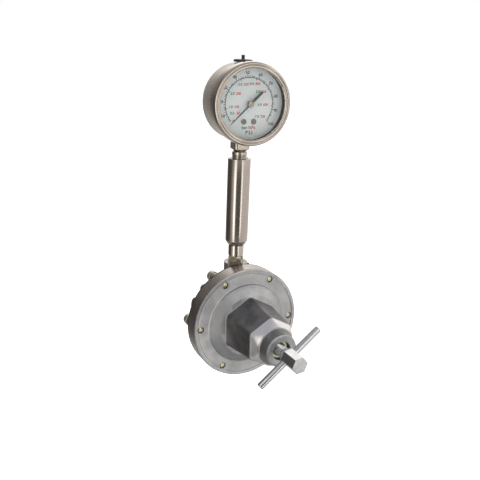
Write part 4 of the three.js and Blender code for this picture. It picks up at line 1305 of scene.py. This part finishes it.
def studio(low_strips, high_strips):
    """White behind for the camera, an even glow for matte pieces, and lamps and cards in what shines."""
    world = bpy.data.worlds.new("studio")
    scene.world = world
    world.use_nodes = True
    tree = world.node_tree
    background = tree.nodes["Background"]
    direction = tree.nodes.new("ShaderNodeTexCoord").outputs["Generated"]
    x, y, height = parted(direction)
    turn = maths("ARCTAN2", y, x)
    share = tree.nodes.new("ShaderNodeMath")
    share.operation = "WRAP"
    camera_turn = atan2(towards_camera.y, towards_camera.x)
    for number, value in enumerate((maths("SUBTRACT", turn, camera_turn), pi, -pi)):
        feed(share, number, value)
    placed = maths("ADD", maths("DIVIDE", share.outputs[0], 2 * pi), 0.5)

    def ramp(strips):
        made = tree.nodes.new("ShaderNodeValToRGB")
        stops = made.color_ramp.elements
        while len(stops) < len(strips):
            stops.new(0.5)
        for stop, (degrees, level) in zip(stops, strips):
            stop.position = degrees / 360 + 0.5
            stop.color = (level, level * 0.95, level * 0.9, 1)
        feed(made, 0, placed)
        return made.outputs[0]

    walls = blended(spread(height, 0.02, 0.3), ramp(low_strips), ramp(high_strips))
    shining = blended(spread(height, 0.55, 0.8), walls, (0.42, 0.42, 0.44))
    shining = blended(spread(height, -0.45, -0.75), shining, (0.35, 0.34, 0.33))
    path = tree.nodes.new("ShaderNodeLightPath")
    even = blended(path.outputs["Is Glossy Ray"], (0.9, 0.9, 0.92), shining)
    feed(background, "Color", blended(path.outputs["Is Camera Ray"], even, (1, 1, 1)))


studio(
    [
        (-180, 0.8), (-150, 0.45), (-135, 0.14), (-122, 0.07), (-80, 0.1), (-62, 0.4), (-44, 0.75),
        (-39, 2.6), (-25, 2.6), (-20, 0.16), (22, 0.12), (30, 0.25), (32, 2.2), (40, 2.2), (43, 0.8),
        (110, 0.8), (180, 0.8),
    ],
    [
        (-180, 1.4), (-165, 1.2), (-150, 0.4), (-135, 0.2), (-75, 0.15), (-50, 0.4), (-40, 1.5), (-21, 1.5),
        (-15, 0.4), (25, 0.4), (32, 1.5), (42, 1.4), (50, 1.0), (120, 1.0), (165, 1.3), (180, 1.4),
    ],
)


def lamp(name, place, aim, width, height, power):
    data = bpy.data.lights.new(name, "AREA")
    data.shape = "RECTANGLE"
    data.size = width
    data.size_y = height
    data.energy = power
    thing = bpy.data.objects.new(name, data)
    scene.collection.objects.link(thing)
    thing.location = place
    thing.rotation_mode = "QUATERNION"
    thing.rotation_quaternion = (Vector(aim) - Vector(place)).to_track_quat("-Z", "Y")
    thing.visible_camera = False
    thing.visible_glossy = False
    return thing


lamp("overhead", (-0.1, -0.2, 1.1), (0, 0, 0.05), 1.0, 1.0, 9)
lamp("left_low", (-0.55, -0.05, -0.12), (0, -0.1, 0), 0.3, 0.2, 1.0)
